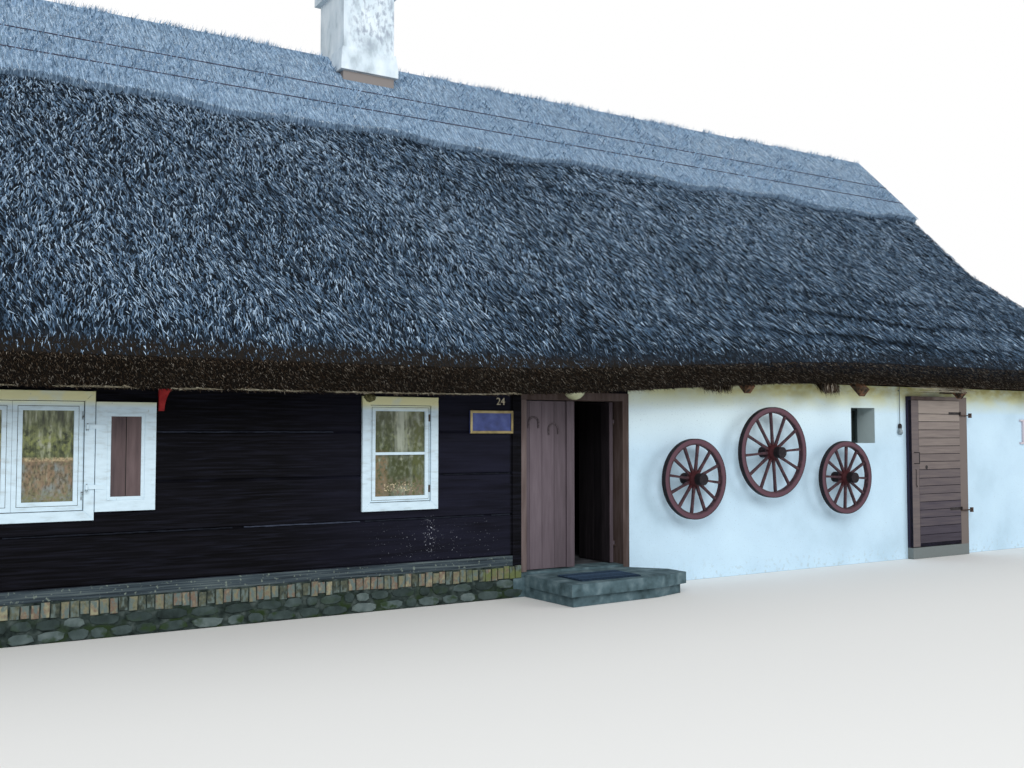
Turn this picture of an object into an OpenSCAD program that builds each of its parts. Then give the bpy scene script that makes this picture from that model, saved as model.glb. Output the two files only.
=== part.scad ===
// Reed-thatched farmhouse: a log dwelling and a whitewashed byre under one roof.
// X runs along the front wall, the front faces -Y, Z is up from the lowest ground.
// The origin is on the base plane, at the centre of the rectangle of the walls.

/* [Walls] */
// Length between the outer faces of the end walls
wall_l = 17000; // [16600:100:18000]
// Depth between the outer faces of the long walls
wall_d = 6500; // [6200:50:7000]
// Height of the wall heads above the lowest ground
wall_h = 2340; // [2330:10:2450]
// Length of the log dwelling with its door, from the left end
dwelling_l = 8160; // [8100:20:8400]
// Thickness of the hewn logs
log_t = 180; // [160:5:200]
// How far the log ends pass the corners
log_end = 130; // [80:10:180]
// Number of courses of wall logs under the top log
log_courses = 4; // [3:1:5]
// Depth of the groove between two courses
log_groove = 16; // [8:1:20]
// Underside of the sill beam
sill_z = 335; // [320:5:350]
// Height of the sill beam
sill_h = 100; // [90:5:120]
// Height of the top log, whose underside is the top of the front door frame
top_log_h = 186; // [180:1:190]
// How far the sill stands out from the logs, and the plinth from the sill
step_out = 12; // [5:1:20]
// Thickness of the whitewashed walls
byre_t = 450; // [420:10:500]

/* [Floors and step] */
// Top of the dwelling floor
floor_z = 250; // [230:5:260]
// Top of the byre floor
byre_floor_z = 150; // [140:5:170]
// Top of the door step slab
step_z = 225; // [205:5:225]
// Thickness of the door step slab
step_slab_h = 120; // [90:5:140]
// How far the step reaches from the wall at its left corner
step_d = 894; // [800:10:950]
// Length of the door mat
mat_l = 760; // [600:10:800]
// Depth of the door mat
mat_d = 430; // [300:10:450]
// Thickness of the door mat
mat_h = 18; // [10:1:25]

/* [Roof] */
// Pitch of every slope, in degrees
roof_pitch = 45; // [44:0.5:46]
// Overhang of the thatch underside, measured level
eave_over = 500; // [460:10:540]
// Thickness of the reed thatch, square to the slope
thatch_t = 350; // [300:10:380]
// Drop of the eave line at the dwelling end
eave_drop = 125; // [80:5:140]
// Lift of the eave line at the byre end
eave_lift = 145; // [100:5:160]
// How far left of the junction the eave line starts to rise
rise_left = 2900; // [2600:50:3200]
// How far right of the junction the eave line ends its rise
rise_right = 3600; // [3300:50:3900]
// Distance of each verge inwards from its end wall
verge_in = 1000; // [900:20:1100]
// How far the verge passes the gable boards
verge_over = 220; // [180:10:260]
// Thickness of the ridge cap
cap_t = 100; // [60:5:120]
// Width of the ridge cap down each slope
cap_l = 1650; // [1400:50:1800]
// Depth of the ragged lower edge of the ridge cap
cap_ragged = 90; // [40:5:120]
// Thickness of the holding wires
wire_d = 12; // [8:1:16]
// Distance of the upper wire from the ridge
wire_upper = 820; // [760:10:900]
// Distance of the lower wire from the ridge
wire_lower = 1290; // [1200:10:1300]

/* [Roof timber] */
// Width of a rafter
rafter_w = 100; // [80:5:120]
// Height of a rafter, square to the slope
rafter_h = 120; // [110:5:140]
// Largest distance between two rafters
rafter_gap = 1050; // [1010:5:1100]
// How far the long rafter tails pass the wall face
rafter_tail = 385; // [350:5:400]
// How far the short rafter tails pass the wall face
short_tail = 60; // [40:5:90]
// Height of a ceiling joist
joist_h = 135; // [120:5:160]
// Width of a ceiling joist
joist_w = 120; // [100:5:140]
// Width of the plates that carry the rafters
plate_w = 140; // [120:5:160]
// Height of the plates that carry the rafters
plate_h = 110; // [90:5:110]
// Distance of the plates from the wall face
plate_in = 50; // [40:5:60]
// Thickness of the battens
batten_h = 35; // [25:1:40]
// Width of the battens
batten_w = 50; // [40:2:60]
// Distance between two battens, up the slope
batten_gap = 330; // [300:10:360]
// Thickness of the loft floor boards
board_t = 28; // [20:1:32]
// Distance between two rafters of an end skirt
skirt_gap = 900; // [800:20:950]

/* [Chimney] */
// Width of the chimney along the ridge
chimney_w = 700; // [640:10:760]
// Depth of the chimney across the ridge
chimney_d = 800; // [700:10:900]
// Distance of the chimney from the junction of dwelling and byre
chimney_off = 1940; // [1900:10:2000]
// Side of the square flue
flue_w = 300; // [240:10:360]
// How far the foot of the flared drip course lies below the top of the ridge cap
drip_below = 276; // [260:2:300]
// Height of the flared drip course
drip_h = 300; // [240:10:320]
// How far the drip course stands out at its foot
drip_out = 45; // [30:5:60]
// Height of the stack from the foot of the drip course to the chimney cap
stack_h = 1090; // [1000:10:1150]
// Height of the lower course of the chimney cap
cap_h = 190; // [150:5:220]
// Height of the crown of the chimney cap
crown_h = 110; // [80:5:140]
// How far the chimney cap stands out
cap_out = 65; // [40:5:80]

/* [Log house windows] */
// Width of the trim boards
trim_w = 88; // [80:2:100]
// How far the trim boards stand out from the wall
trim_t = 30; // [20:1:34]
// Thickness of the lining of a window opening
lining_t = 30; // [20:1:35]
// Thickness of a casement
casement_t = 42; // [36:1:50]
// How far a casement stands out from the wall
casement_out = 12; // [5:1:18]
// Thickness of the panes
glass_t = 4; // [3:0.5:6]
// Width over the trim of the left front window
left_win_w = 1264; // [1250:2:1280]
// Height over the trim of the left front window
left_win_h = 1081; // [1050:2:1100]
// Distance from the top log down to the trim of the left front window
left_win_down = 88; // [84:1:100]
// Distance of the left front window from the left end wall
left_win_in = 1863; // [1840:1:1900]
// Stile width of the left front casements
left_stile = 76; // [60:2:90]
// Width over the trim of the single windows
win_w = 820; // [800:5:850]
// Height over the trim of the single windows
win_h = 1113; // [1080:5:1120]
// Distance from the top log down to the trim of the single windows
win_down = 85; // [80:1:100]
// Distance of the middle front window from the junction
win_off = 2831; // [2800:5:2860]
// Stile width of the single casements
stile = 53; // [45:1:70]
// Height of the middle bar of a single casement
bar_h = 26; // [20:1:32]

/* [Shutters] */
// Width of a shutter
shutter_w = 490; // [480:1:492]
// Height of a shutter
shutter_h = 923; // [880:5:940]
// Height of the foot of the shutters above the foot of the window trim
shutter_up = 70; // [65:1:80]
// Thickness of a shutter
shutter_t = 30; // [25:1:34]
// Frame width of a shutter
shutter_rail = 92; // [80:2:110]
// Depth of the panel behind the face of the shutter frame
panel_in = 9; // [6:1:11]
// Distance of a shutter edge from its hinge pin
shutter_arm = 70; // [69:1:71]
// Distance of a hinge pin from the edge of the trim
shutter_pin_in = 65; // [64:1:66]

/* [Front door] */
// Width of the doorway between its posts
door_w = 1345; // [1330:5:1360]
// Width of the tarred post at the left of the doorway
post_w = 106; // [90:2:120]
// Width of the right jamb
jamb_w = 85; // [75:1:95]
// Height of the head of the door frame
door_head = 86; // [70:2:100]
// Depth of the door frame
frame_d = 250; // [230:5:280]
// How far the door frame stands out from the wall
frame_out = 14; // [8:1:20]
// Thickness of a door leaf
leaf_t = 45; // [38:1:50]
// Set-back of the leaves from the wall face
leaf_in = 80; // [70:5:100]
// Width of the left leaf
left_leaf_w = 728; // [700:2:736]
// Gap between the leaves and beside them
leaf_gap = 5; // [5:0.5:7]
// Thickness of the cover strip on the left leaf
strip_t = 20; // [15:1:24]
// Width of the cover strip on the left leaf
strip_w = 100; // [80:5:110]
// Thickness of the horseshoes
shoe_t = 12; // [8:1:14]
// Outer radius of a horseshoe
shoe_r = 72; // [60:2:80]
// Width of the iron of a horseshoe
shoe_w = 20; // [16:1:24]

/* [Byre door] */
// Distance of the doorway from the junction
byre_door_off = 4800; // [4780:5:4820]
// Width of the doorway over its frame
byre_door_w = 1215; // [1200:5:1230]
// Height of the wall over the frame
lintel_h = 126; // [120:1:140]
// Height of the head of the frame
byre_head = 50; // [40:2:60]
// Width of the hinge jamb
hinge_jamb_w = 165; // [155:1:170]
// Width of the closing jamb, which the leaf covers
shut_jamb_w = 90; // [80:2:110]
// How far the leaf and the hinge jamb stand out from the wall
byre_out = 90; // [80:2:100]
// Thickness of the byre door leaf
byre_leaf_t = 40; // [35:1:45]
// Depth of the frame in the wall
byre_frame_in = 110; // [90:5:140]
// Radius of the rod of the pull handle
pull_r = 6; // [5:0.5:8]
// Height of the pull handle
pull_h = 150; // [130:5:160]
// How far the pull handle stands out from the leaf
pull_out = 85; // [60:5:90]
// Underside of the pull handle
pull_z = 1295; // [1270:5:1320]
// Distance of the pull handle from the edge of the leaf
pull_in = 48; // [40:2:56]
// Distance of the keyhole plate from the edge of the leaf
key_in = 300; // [280:5:320]
// Height of the middle of the keyhole plate
key_z = 1240; // [1200:5:1260]
// Length of the straps of the byre door, from their pins
byre_strap_l = 245; // [220:5:270]
// Underside of the lower strap above the byre floor
low_strap_up = 480; // [460:5:500]
// Distance of the upper strap from the top of the frame
high_strap_down = 250; // [240:2:270]
// How far the fixed hinge plates pass the jamb
plate_over = 55; // [40:5:60]

/* [Hinges] */
// Radius of a hinge pin
pin_r = 6; // [5:0.5:7]
// Radius of a strap eye
eye_r = 12; // [11:0.5:13]
// Distance from the face that carries a strap to the pin axis
pin_off = 16; // [15:0.5:18]
// Thickness of a strap
strap_t = 7; // [6:0.5:8]
// Height of a strap
strap_h = 38; // [30:1:44]
// Length of a strap of the front door, from its pin
door_strap_l = 420; // [360:10:480]
// Distance of the front door straps from the ends of a leaf
strap_in = 200; // [160:10:240]
// Distance of the shutter straps from the ends of a shutter
shutter_strap_in = 190; // [170:5:210]
// Running clearance of an eye on its pin
pin_play = 0.05; // [0.02:0.01:0.1]
// Gap between an eye and the arm under it
eye_gap = 0.3; // [0.2:0.05:0.5]
// Height of the arm under a pin
arm_h = 14; // [10:1:18]

/* [Cart wheels] */
// Radius of the large wheel
wheel_big_r = 550; // [535:5:565]
// Radius of the small wheels
wheel_r = 464; // [450:2:480]
// Number of spokes
spokes = 12; // [10:2:14]
// Depth of the felloes between spokes and tyre
felloe_d = 62; // [50:2:70]
// Width of the felloes
felloe_w = 58; // [48:2:64]
// Thickness of the iron tyre
tyre_t = 9; // [6:1:12]
// Radius of the nave at its middle
nave_r = 88; // [80:2:96]
// Radius of the nave at its ends
nave_end_r = 66; // [60:1:72]
// Length of the nave
nave_l = 320; // [300:5:340]
// Distance of the wheel plane from the wall
wheel_out = 185; // [175:5:195]
// Thickness of a spoke
spoke_t = 30; // [24:1:36]
// Width of a spoke at the nave
spoke_w = 34; // [28:1:42]
// Heights of the wheel centres, from left to right
wheel_z = [1183, 1477, 1145];
// Distances of the wheel centres from the junction
wheel_off = [820, 2078, 3364];
// Turn of the spokes of each wheel, in degrees
wheel_turn = [22.5, 4, 27];

/* [Niches and fittings] */
// Width of a byre niche window
niche_w = 465; // [440:5:480]
// Height of a byre niche window
niche_h = 467; // [440:5:480]
// Distance of a byre niche window from the wall head
niche_down = 296; // [270:2:310]
// Distance of the front niche from the junction
niche_off = 3934; // [3920:2:3950]
// Depth of the niche in front of its frame
niche_in = 290; // [250:5:330]
// Width of the frame of a niche window
niche_frame = 32; // [25:1:40]
// Width of the sign board
sign_w = 514; // [480:2:540]
// Height of the sign board
sign_h = 235; // [220:5:250]
// Distance of the sign board from the top log
sign_down = 210; // [200:2:230]
// Thickness of the sign board
sign_t = 22; // [15:1:26]
// Radius of the globe of the lamp
globe_r = 120; // [105:5:122]
// Height of the centre of the globe above the underside of the top log
globe_up = 34; // [28:1:38]
// Distance of the lamp from the junction
lamp_off = 840; // [820:10:860]
// Distance of the bulb from the junction
bulb_off = 4653; // [4640:1:4660]
// Distance of the centre of the bulb from the wall head
bulb_down = 595; // [560:5:640]
// Radius of the bulb
bulb_r = 30; // [26:1:34]
// Width of the corbel at its top
corbel_w = 138; // [130:2:146]
// Height of the corbel
corbel_h = 248; // [230:2:260]
// Thickness of the corbel
corbel_t = 45; // [40:1:50]
// Distance of the wall anchor from the junction
anchor_off = 7483; // [7450:5:7520]
// Height of the wall anchor
anchor_h = 367; // [320:5:400]
// Distance of the wall anchor from the wall head
anchor_down = 430; // [400:5:460]

/* [Hidden] */
$fn = 48;

// Derived places
half_l = wall_l / 2;
half_d = wall_d / 2;
junction = dwelling_l - half_l;
tan_p = tan(roof_pitch);
cos_p = cos(roof_pitch);
sin_p = sin(roof_pitch);
sill_top = sill_z + sill_h;
top_log_z = wall_h - top_log_h;
byre_door_z = wall_h - lintel_h;
win_z = top_log_z - win_down - win_h;
left_win_z = top_log_z - left_win_down - left_win_h;
shutter_z = left_win_z + shutter_up;
niche_z = wall_h - niche_down - niche_h;
course_h = (top_log_z - sill_top) / log_courses;
joist_z = wall_h;
plate_z = joist_z + joist_h;
// Underside of the thatch above the outer wall face
heel = 6;
thatch_z = plate_z + heel + (rafter_h + batten_h) / cos_p;
verge_x = half_l - verge_in;
gable_x = verge_x - verge_over;
hip_out = 600;
sky = 9000;
// Front door
door_x1 = junction - jamb_w;
door_x0 = door_x1 - door_w;
post_x0 = door_x0 - post_w;
door_z1 = top_log_z - door_head;
door_z0 = floor_z;
leaf_top_gap = 8;
leaf_z0 = door_z0 + leaf_top_gap;
leaf_h = door_z1 - leaf_top_gap - leaf_z0;
leaf_y = -half_d + leaf_in;
door_meet = 10;
right_leaf_w = door_w - 2 * leaf_gap - left_leaf_w - door_meet;
// Chimney
chimney_x = junction - chimney_off;
cap_top_z = thatch_z + half_d * tan_p + (thatch_t + cap_t) / cos_p;
drip_z = cap_top_z - drip_below;
cap_z = drip_z + stack_h;
// Windows
left_win_x = left_win_in - half_l;
// Wall side, place along it, underside, width, height, casements, stile, bars
SIDE = 0;
PLACE = 1;
WINDOWS = [
    ["front", left_win_x, left_win_z, left_win_w, left_win_h, 2, left_stile, 0],
    ["front", junction - win_off, win_z, win_w, win_h, 1, stile, 1],
    ["back", -left_win_x, win_z, win_w, win_h, 1, stile, 1],
    ["back", -(junction - win_off), win_z, win_w, win_h, 1, stile, 1],
    ["left", 0, win_z, win_w, win_h, 1, stile, 1]
];
NICHES = [
    ["front", junction + niche_off],
    ["back", -(junction + niche_off)],
    ["back", -(junction + wheel_off[0])],
    ["right", 0]
];
// Byre door
byre_x0 = junction + byre_door_off;
byre_x1 = byre_x0 + byre_door_w;
byre_leaf_x1 = byre_x1 - hinge_jamb_w - leaf_gap;
byre_leaf_z0 = byre_floor_z + 10;
byre_leaf_h = byre_door_z - byre_head - leaf_gap - byre_leaf_z0;

// Helpers
function thatch_under(d) = thatch_z + d * tan_p;
function smooth(t) = let (c = min(1, max(0, t))) c * c * (3 - 2 * c);
function rise(x) = smooth((x - junction + rise_left) / (rise_left + rise_right));
function eave_off(x) = -eave_drop + (eave_drop + eave_lift) * rise(x);
function log_z(i) = sill_top + i * course_h;

// Draws a profile of the YZ plane along X
module along_x(x0, x1) {
    translate([x0, 0, 0]) rotate([90, 0, 90]) linear_extrude(x1 - x0) children();
}

// Draws a profile of the XZ plane along Y
module along_y(y0, y1) {
    translate([0, y1, 0]) rotate([90, 0, 0]) linear_extrude(y1 - y0) children();
}

// Box from its low corner to its high corner
module block(low, high) {
    translate(low) cube(high - low);
}

// Puts what is drawn for a wall with its outer face on y = 0 on one side of the house
module on_wall(side) {
    if (side == "front") translate([0, -half_d, 0]) children();
    if (side == "back") rotate([0, 0, 180]) translate([0, -half_d, 0]) children();
    if (side == "left") rotate([0, 0, -90]) translate([0, -half_l, 0]) children();
    if (side == "right") rotate([0, 0, 90]) translate([0, -half_l, 0]) children();
}

// Puts what is drawn in the plane of a thatch underside, x along the eave and y up the slope
module on_slope(reach) {
    translate([0, -(reach + eave_over), thatch_under(-eave_over)]) rotate([roof_pitch, 0, 0]) children();
}

// Foundation and sills

module wall_strip(x0, x1, out, t, z0, z1) {
    block([x0, -out, z0], [x1, t - out, z1]);
}

module plinth() {
    out = 2 * step_out;
    t = log_t + out;
    color("gray") {
        on_wall("front") wall_strip(-half_l - out, post_x0, out, t, 0, sill_z);
        on_wall("back") wall_strip(-junction, half_l + out, out, t, 0, sill_z);
        on_wall("left") wall_strip(-half_d + log_t + 1, half_d - log_t - 1, out, t, 0, sill_z);
    }
}

module sill_beams() {
    t = log_t + step_out;
    color("silver") {
        on_wall("front") wall_strip(-half_l - step_out, post_x0, step_out, t, sill_z, sill_top);
        on_wall("back") wall_strip(-junction + post_w, half_l + step_out, step_out, t, sill_z, sill_top);
        on_wall("left") wall_strip(-half_d + log_t + 1, half_d - log_t - 1, step_out, t, sill_z, sill_top);
    }
}

// Log walls: hewn courses with a groove between them, lapped at the corners

function groove_side(y, into, zs) = [
    for (i = [0:len(zs) - 2])
        each [[y + into * log_groove, zs[i]], [y, zs[i] + log_groove], [y, zs[i + 1] - log_groove]],
    [y + into * log_groove, zs[len(zs) - 1]]
];
function flipped(list) = [for (i = [len(list) - 1:-1:0]) list[i]];
long_joints = [for (i = [0:log_courses]) log_z(i)];
end_joints = [log_z(0), for (i = [0:log_courses - 1]) log_z(i + 0.5), log_z(log_courses)];

module log_profile(zs) {
    polygon(concat(groove_side(0, 1, zs), flipped(groove_side(log_t, -1, zs))));
}

// Column where two log walls cross, over the heights that one of them gives up
module corner_laps(x, y, first) {
    lap_gap = 0.15;
    for (i = [first:0.5:log_courses + 0.5]) {
        low = max(log_z(0), log_z(i - 0.25));
        high = min(log_z(log_courses), log_z(i + 0.25));
        whole = i == floor(i);
        if (high > low && whole == (first == 0))
            block([x - 1, y - 1, low - lap_gap], [x + log_t + 1, y + log_t + 1, high + lap_gap]);
    }
}

module window_hole(w) {
    hole_w = w[3] - 2 * trim_w + 2 * lining_t;
    hole_h = w[4] - 2 * trim_w + 2 * lining_t;
    on_wall(w[SIDE]) translate([w[PLACE] - hole_w / 2, -100, w[2] + trim_w - lining_t])
        cube([hole_w, log_t + 200, hole_h]);
}

module window_holes(side) {
    for (w = WINDOWS) if (w[SIDE] == side) window_hole(w);
}

module front_log_wall() {
    color("#2b2326") difference() {
        on_wall("front") along_x(-half_l - log_end, post_x0) log_profile(long_joints);
        corner_laps(-half_l, -half_d, 0);
        window_holes("front");
    }
}

module back_log_wall() {
    color("#2b2326") difference() {
        on_wall("back") along_x(-junction + post_w, half_l + log_end) log_profile(long_joints);
        corner_laps(-half_l, half_d - log_t, 0);
        window_holes("back");
    }
}

module left_log_wall() {
    color("#2b2326") difference() {
        on_wall("left") along_x(-half_d - log_end, half_d + log_end) log_profile(end_joints);
        corner_laps(-half_l, -half_d, 0.5);
        corner_laps(-half_l, half_d - log_t, 0.5);
        window_holes("left");
    }
}

module top_logs() {
    color("#2b2326") {
        on_wall("front") wall_strip(-half_l - log_end, junction, 0, log_t, top_log_z, wall_h);
        on_wall("back") wall_strip(-junction, half_l + log_end, 0, log_t, top_log_z, wall_h);
        on_wall("left") wall_strip(-half_d + log_t + 1, half_d - log_t - 1, 0, log_t, top_log_z, wall_h);
    }
}

module corner_posts() {
    color("#1d191b") {
        block([post_x0, -half_d - frame_out, floor_z - 50], [door_x0, -half_d + frame_d, top_log_z]);
        block([junction - post_w, half_d - log_t, sill_z], [junction, half_d + step_out, top_log_z]);
    }
}

// Floors and thresholds

// Stone under the front door with its timber sill, and the stone of the byre door
module thresholds() {
    color("dimgray") {
        block([post_x0, -half_d - 2 * step_out, 0], [junction, -half_d + frame_d, floor_z - 50]);
        block([door_x0, -half_d - step_out, floor_z - 50], [door_x1, -half_d + frame_d, floor_z]);
    }
    color("gray") block([byre_x0, -half_d - byre_out, 0], [byre_x1, -half_d + byre_t, byre_floor_z]);
}

// Dwelling floor behind the door frame, and the lower byre floor
module floors() {
    expansion_gap = 1;
    color("darkgray") {
        difference() {
            block([-half_l + log_t, -half_d + log_t, 0], [junction, half_d - log_t, floor_z]);
            block([post_x0, -half_d, -1], [junction + 1, -half_d + frame_d, floor_z + 1]);
        }
        block(
            [junction + expansion_gap, -half_d + byre_t, 0],
            [half_l - byre_t, half_d - byre_t, byre_floor_z]
        );
    }
}

// Whitewashed walls

module niche_hole(n) {
    on_wall(n[SIDE]) translate([n[PLACE] - niche_w / 2, -100, niche_z])
        cube([niche_w, byre_t + 200, niche_h]);
}

// The two stretches of the front wall, beside the doorway
module byre_front_wall() {
    color("white") {
        difference() {
            block([junction, -half_d, 0], [byre_x0, -half_d + byre_t, wall_h]);
            niche_hole(NICHES[0]);
        }
        block([byre_x1, -half_d, 0], [half_l, -half_d + byre_t, wall_h]);
    }
}

module byre_door_lintel() {
    color("white") block([byre_x0, -half_d, byre_door_z], [byre_x1, -half_d + byre_t, wall_h]);
}

module byre_back_wall() {
    color("white") difference() {
        block([junction, half_d - byre_t, 0], [half_l, half_d, wall_h]);
        niche_hole(NICHES[1]);
        niche_hole(NICHES[2]);
    }
}

module byre_end_wall() {
    color("white") difference() {
        block([half_l - byre_t, -half_d + byre_t, 0], [half_l, half_d - byre_t, wall_h]);
        niche_hole(NICHES[3]);
    }
}

// Roof timber

chimney_x0 = chimney_x - chimney_w / 2;
chimney_x1 = chimney_x + chimney_w / 2;
trimmer_gap = 80;
end_rafter_x = gable_x - rafter_w / 2;
left_rafter = chimney_x0 - trimmer_gap - rafter_w / 2;
right_rafter = chimney_x1 + trimmer_gap + rafter_w / 2;
left_bays = ceil((left_rafter + end_rafter_x) / rafter_gap);
right_bays = ceil((end_rafter_x - right_rafter) / rafter_gap);
RAFTERS = concat(
    [for (i = [0:left_bays]) left_rafter - i * (left_rafter + end_rafter_x) / left_bays],
    [for (i = [0:right_bays]) right_rafter + i * (end_rafter_x - right_rafter) / right_bays]
);

module joists() {
    color("tan") {
        for (x = RAFTERS)
            block([x - joist_w / 2, -half_d, joist_z], [x + joist_w / 2, half_d, plate_z]);
        for (side = ["left", "right"])
            on_wall(side) wall_strip(-half_d, half_d, -plate_in, plate_w, joist_z, plate_z);
    }
}

module roof_plates() {
    color("tan") {
        long_half = half_l - plate_in;
        end_half = half_d - plate_in - plate_w - 2;
        for (side = ["front", "back"])
            on_wall(side) wall_strip(-long_half, long_half, -plate_in, plate_w, plate_z, plate_z + plate_h);
        for (side = ["left", "right"])
            on_wall(side) wall_strip(-end_half, end_half, -plate_in, plate_w, plate_z, plate_z + plate_h);
    }
}

module loft_floor() {
    edge = plate_in + plate_w;
    color("burlywood") difference() {
        block([-half_l + edge, -half_d + edge, plate_z], [half_l - edge, half_d - edge, plate_z + board_t]);
        block([chimney_x0, -chimney_d / 2, 0], [chimney_x1, chimney_d / 2, sky]);
    }
}

// Side of a rafter: y is the distance inwards from the wall face, with a seat on the plate
// and a tail cut square to the slope
module rafter_side(top, tail) {
    low = -(rafter_h + batten_h) / cos_p;
    high = -batten_h / cos_p;
    foot = tail - rafter_h * sin_p;
    difference() {
        polygon([
            [-foot, thatch_under(-foot) + low],
            [top, thatch_under(top) + low],
            [top, thatch_under(top) + high],
            [-tail, thatch_under(-tail) + high]
        ]);
        translate([plate_in, plate_z]) square([plate_w, plate_h]);
    }
}

module rafter(side, x, top, tail) {
    on_wall(side) along_x(x - rafter_w / 2, x + rafter_w / 2) rafter_side(top, tail);
}

skirt_top = half_l - gable_x - board_t;
ridge_gap = 1;

// Pairs that lean on each other at the ridge, every second one with long tails,
// and the shorter rafters of the end skirts
module rafters() {
    side_count = floor((half_d - skirt_top) / skirt_gap);
    top = half_d - ridge_gap / 2;
    color("saddlebrown") {
        for (i = [0:len(RAFTERS) - 1]) {
            tail = i % 2 == 0 ? short_tail : rafter_tail;
            rafter("front", RAFTERS[i], top, tail);
            rafter("back", -RAFTERS[i], top, tail);
        }
        for (side = ["left", "right"], i = [-side_count:side_count])
            rafter(side, i * skirt_gap, skirt_top, rafter_tail);
    }
}

// Battens across the rafters, from the first one above the eave to the last under the ridge
batten_first = 235;
batten_seat = 0.3;
function level(v) = v * cos_p - eave_over;

module batten_row(reach, v, half_len) {
    on_slope(reach) translate([-half_len, v, batten_seat - batten_h])
        cube([2 * half_len, batten_w, batten_h - 2 * batten_seat]);
}

module battens() {
    mitre_gap = 110;
    top_v = (half_d + eave_over) / cos_p - 60 - batten_w;
    skirt_v = (skirt_top + eave_over) / cos_p - batten_w - 20;
    color("peru") {
        difference() {
            for (turn = [0, 180], v = [batten_first:batten_gap:top_v])
                rotate([0, 0, turn]) batten_row(half_d, v, max(half_l - level(v) - mitre_gap, verge_x - 40));
            block([chimney_x0, -chimney_d / 2, 0], [chimney_x1, chimney_d / 2, sky]);
        }
        for (turn = [-90, 90], v = [batten_first:batten_gap:skirt_v])
            rotate([0, 0, turn]) batten_row(half_l, v, half_d - level(v) - mitre_gap);
    }
}

module gable_boards() {
    apex = thatch_under(half_d) - batten_h / cos_p;
    foot = thatch_under(skirt_top) - (rafter_h + batten_h) / cos_p - 100;
    half = (apex - foot) / tan_p;
    color("rosybrown") for (side = ["left", "right"])
        on_wall(side) along_y(half_l - gable_x - board_t, half_l - gable_x)
            polygon([[-half, foot], [half, foot], [0, apex]]);
}

// Thatch: two long slopes with gablets, and a hipped skirt round each end

wave_steps = 24;
module slope_outline() {
    reach_x = half_l + eave_over + hip_out;
    slope_l = (half_d + eave_over) / cos_p + hip_out;
    xs = [for (i = [0:wave_steps]) -reach_x + i * 2 * reach_x / wave_steps];
    polygon(concat([for (x = xs) [x, eave_off(x) / sin_p]], [[reach_x, slope_l], [-reach_x, slope_l]]));
}

// Plan of a long slope: up to the ridge, to the verges and to the hip lines
module slope_plan() {
    far = eave_over + hip_out;
    hip_y = half_d - verge_in;
    polygon([
        [-verge_x, 0], [-verge_x, -hip_y], [-half_l - far, -half_d - far],
        [half_l + far, -half_d - far], [verge_x, -hip_y], [verge_x, 0]
    ]);
}

module chimney_cut() {
    block([chimney_x0, -chimney_d / 2, 0], [chimney_x1, chimney_d / 2, sky]);
    drip_envelope();
}

module drip_envelope() {
    half_x = chimney_w / 2 + drip_out;
    half_y = chimney_d / 2 + drip_out;
    block([chimney_x - half_x, -half_y, drip_z], [chimney_x + half_x, half_y, drip_z + drip_h + 200]);
}

// One long slope, with a layer of the given depth under it
module long_slope(under) {
    intersection() {
        on_slope(half_d) translate([0, 0, -under]) linear_extrude(thatch_t + under) slope_outline();
        linear_extrude(sky) slope_plan();
    }
}

module thatch_front() {
    color("#5b5f6b") difference() {
        long_slope(0);
        chimney_cut();
    }
}

// The back slope mirrors the front one, so that the eave rises towards the byre on both
module thatch_back() {
    color("#5b5f6b") difference() {
        mirror([0, 1, 0]) long_slope(0);
        chimney_cut();
    }
}

// A skirt butts against the gable boards, under the verge and its battens
module end_skirt(side, off) {
    turn = side == "right" ? 90 : -90;
    far = eave_over + hip_out;
    wide = half_d + far;
    top = verge_in + verge_over - board_t;
    difference() {
        intersection() {
            rotate([0, 0, turn]) on_slope(half_l) linear_extrude(thatch_t)
                translate([-wide, off / sin_p]) square([2 * wide, sky]);
            rotate([0, 0, turn]) linear_extrude(sky) polygon([
                [-(half_d - top), -half_l + top], [-half_d - far, -half_l - far],
                [half_d + far, -half_l - far], [half_d - top, -half_l + top]
            ]);
        }
        long_slope(batten_h + 1);
        mirror([0, 1, 0]) long_slope(batten_h + 1);
    }
}

module end_skirts() {
    color("#5b5f6b") {
        end_skirt("left", eave_off(-half_l));
        end_skirt("right", eave_off(half_l));
    }
}

// Ridge cap of older, lighter reed with a ragged lower edge

cap_steps = 60;
slope_to_ridge = (half_d + eave_over) / cos_p + thatch_t * tan_p;
function ragged(x) = cap_ragged * (0.6 * sin(x / 9) + 0.4 * sin(x / 3.7));

module cap_half() {
    xs = [for (i = [0:cap_steps]) -verge_x + i * 2 * verge_x / cap_steps];
    low = slope_to_ridge - cap_l;
    high = slope_to_ridge + hip_out;
    intersection() {
        on_slope(half_d) translate([0, 0, thatch_t]) linear_extrude(cap_t)
            polygon(concat([for (x = xs) [x, low + ragged(x)]], [[verge_x, high], [-verge_x, high]]));
        block([-verge_x, -half_d, 0], [verge_x, 0, sky]);
    }
}

module ridge_cap() {
    color("#8f94a3") difference() {
        union() {
            cap_half();
            mirror([0, 1, 0]) cap_half();
        }
        chimney_cut();
    }
}

module ridge_wires() {
    color("#6e6a66") for (turn = [0, 180], down = [wire_upper, wire_lower])
        rotate([0, 0, turn]) on_slope(half_d)
            translate([-verge_x, slope_to_ridge + cap_t * tan_p - down, thatch_t + cap_t + wire_d / 2])
                rotate([0, 90, 0]) cylinder(h = 2 * verge_x, d = wire_d, $fn = 24);
}

// Chimney

module flue() {
    hearth_h = 900;
    translate([chimney_x - flue_w / 2, -flue_w / 2, floor_z + hearth_h]) cube([flue_w, flue_w, sky]);
}

module chimney_shaft() {
    color("whitesmoke") difference() {
        block([chimney_x0, -chimney_d / 2, floor_z], [chimney_x1, chimney_d / 2, cap_z]);
        flue();
    }
}

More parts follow.
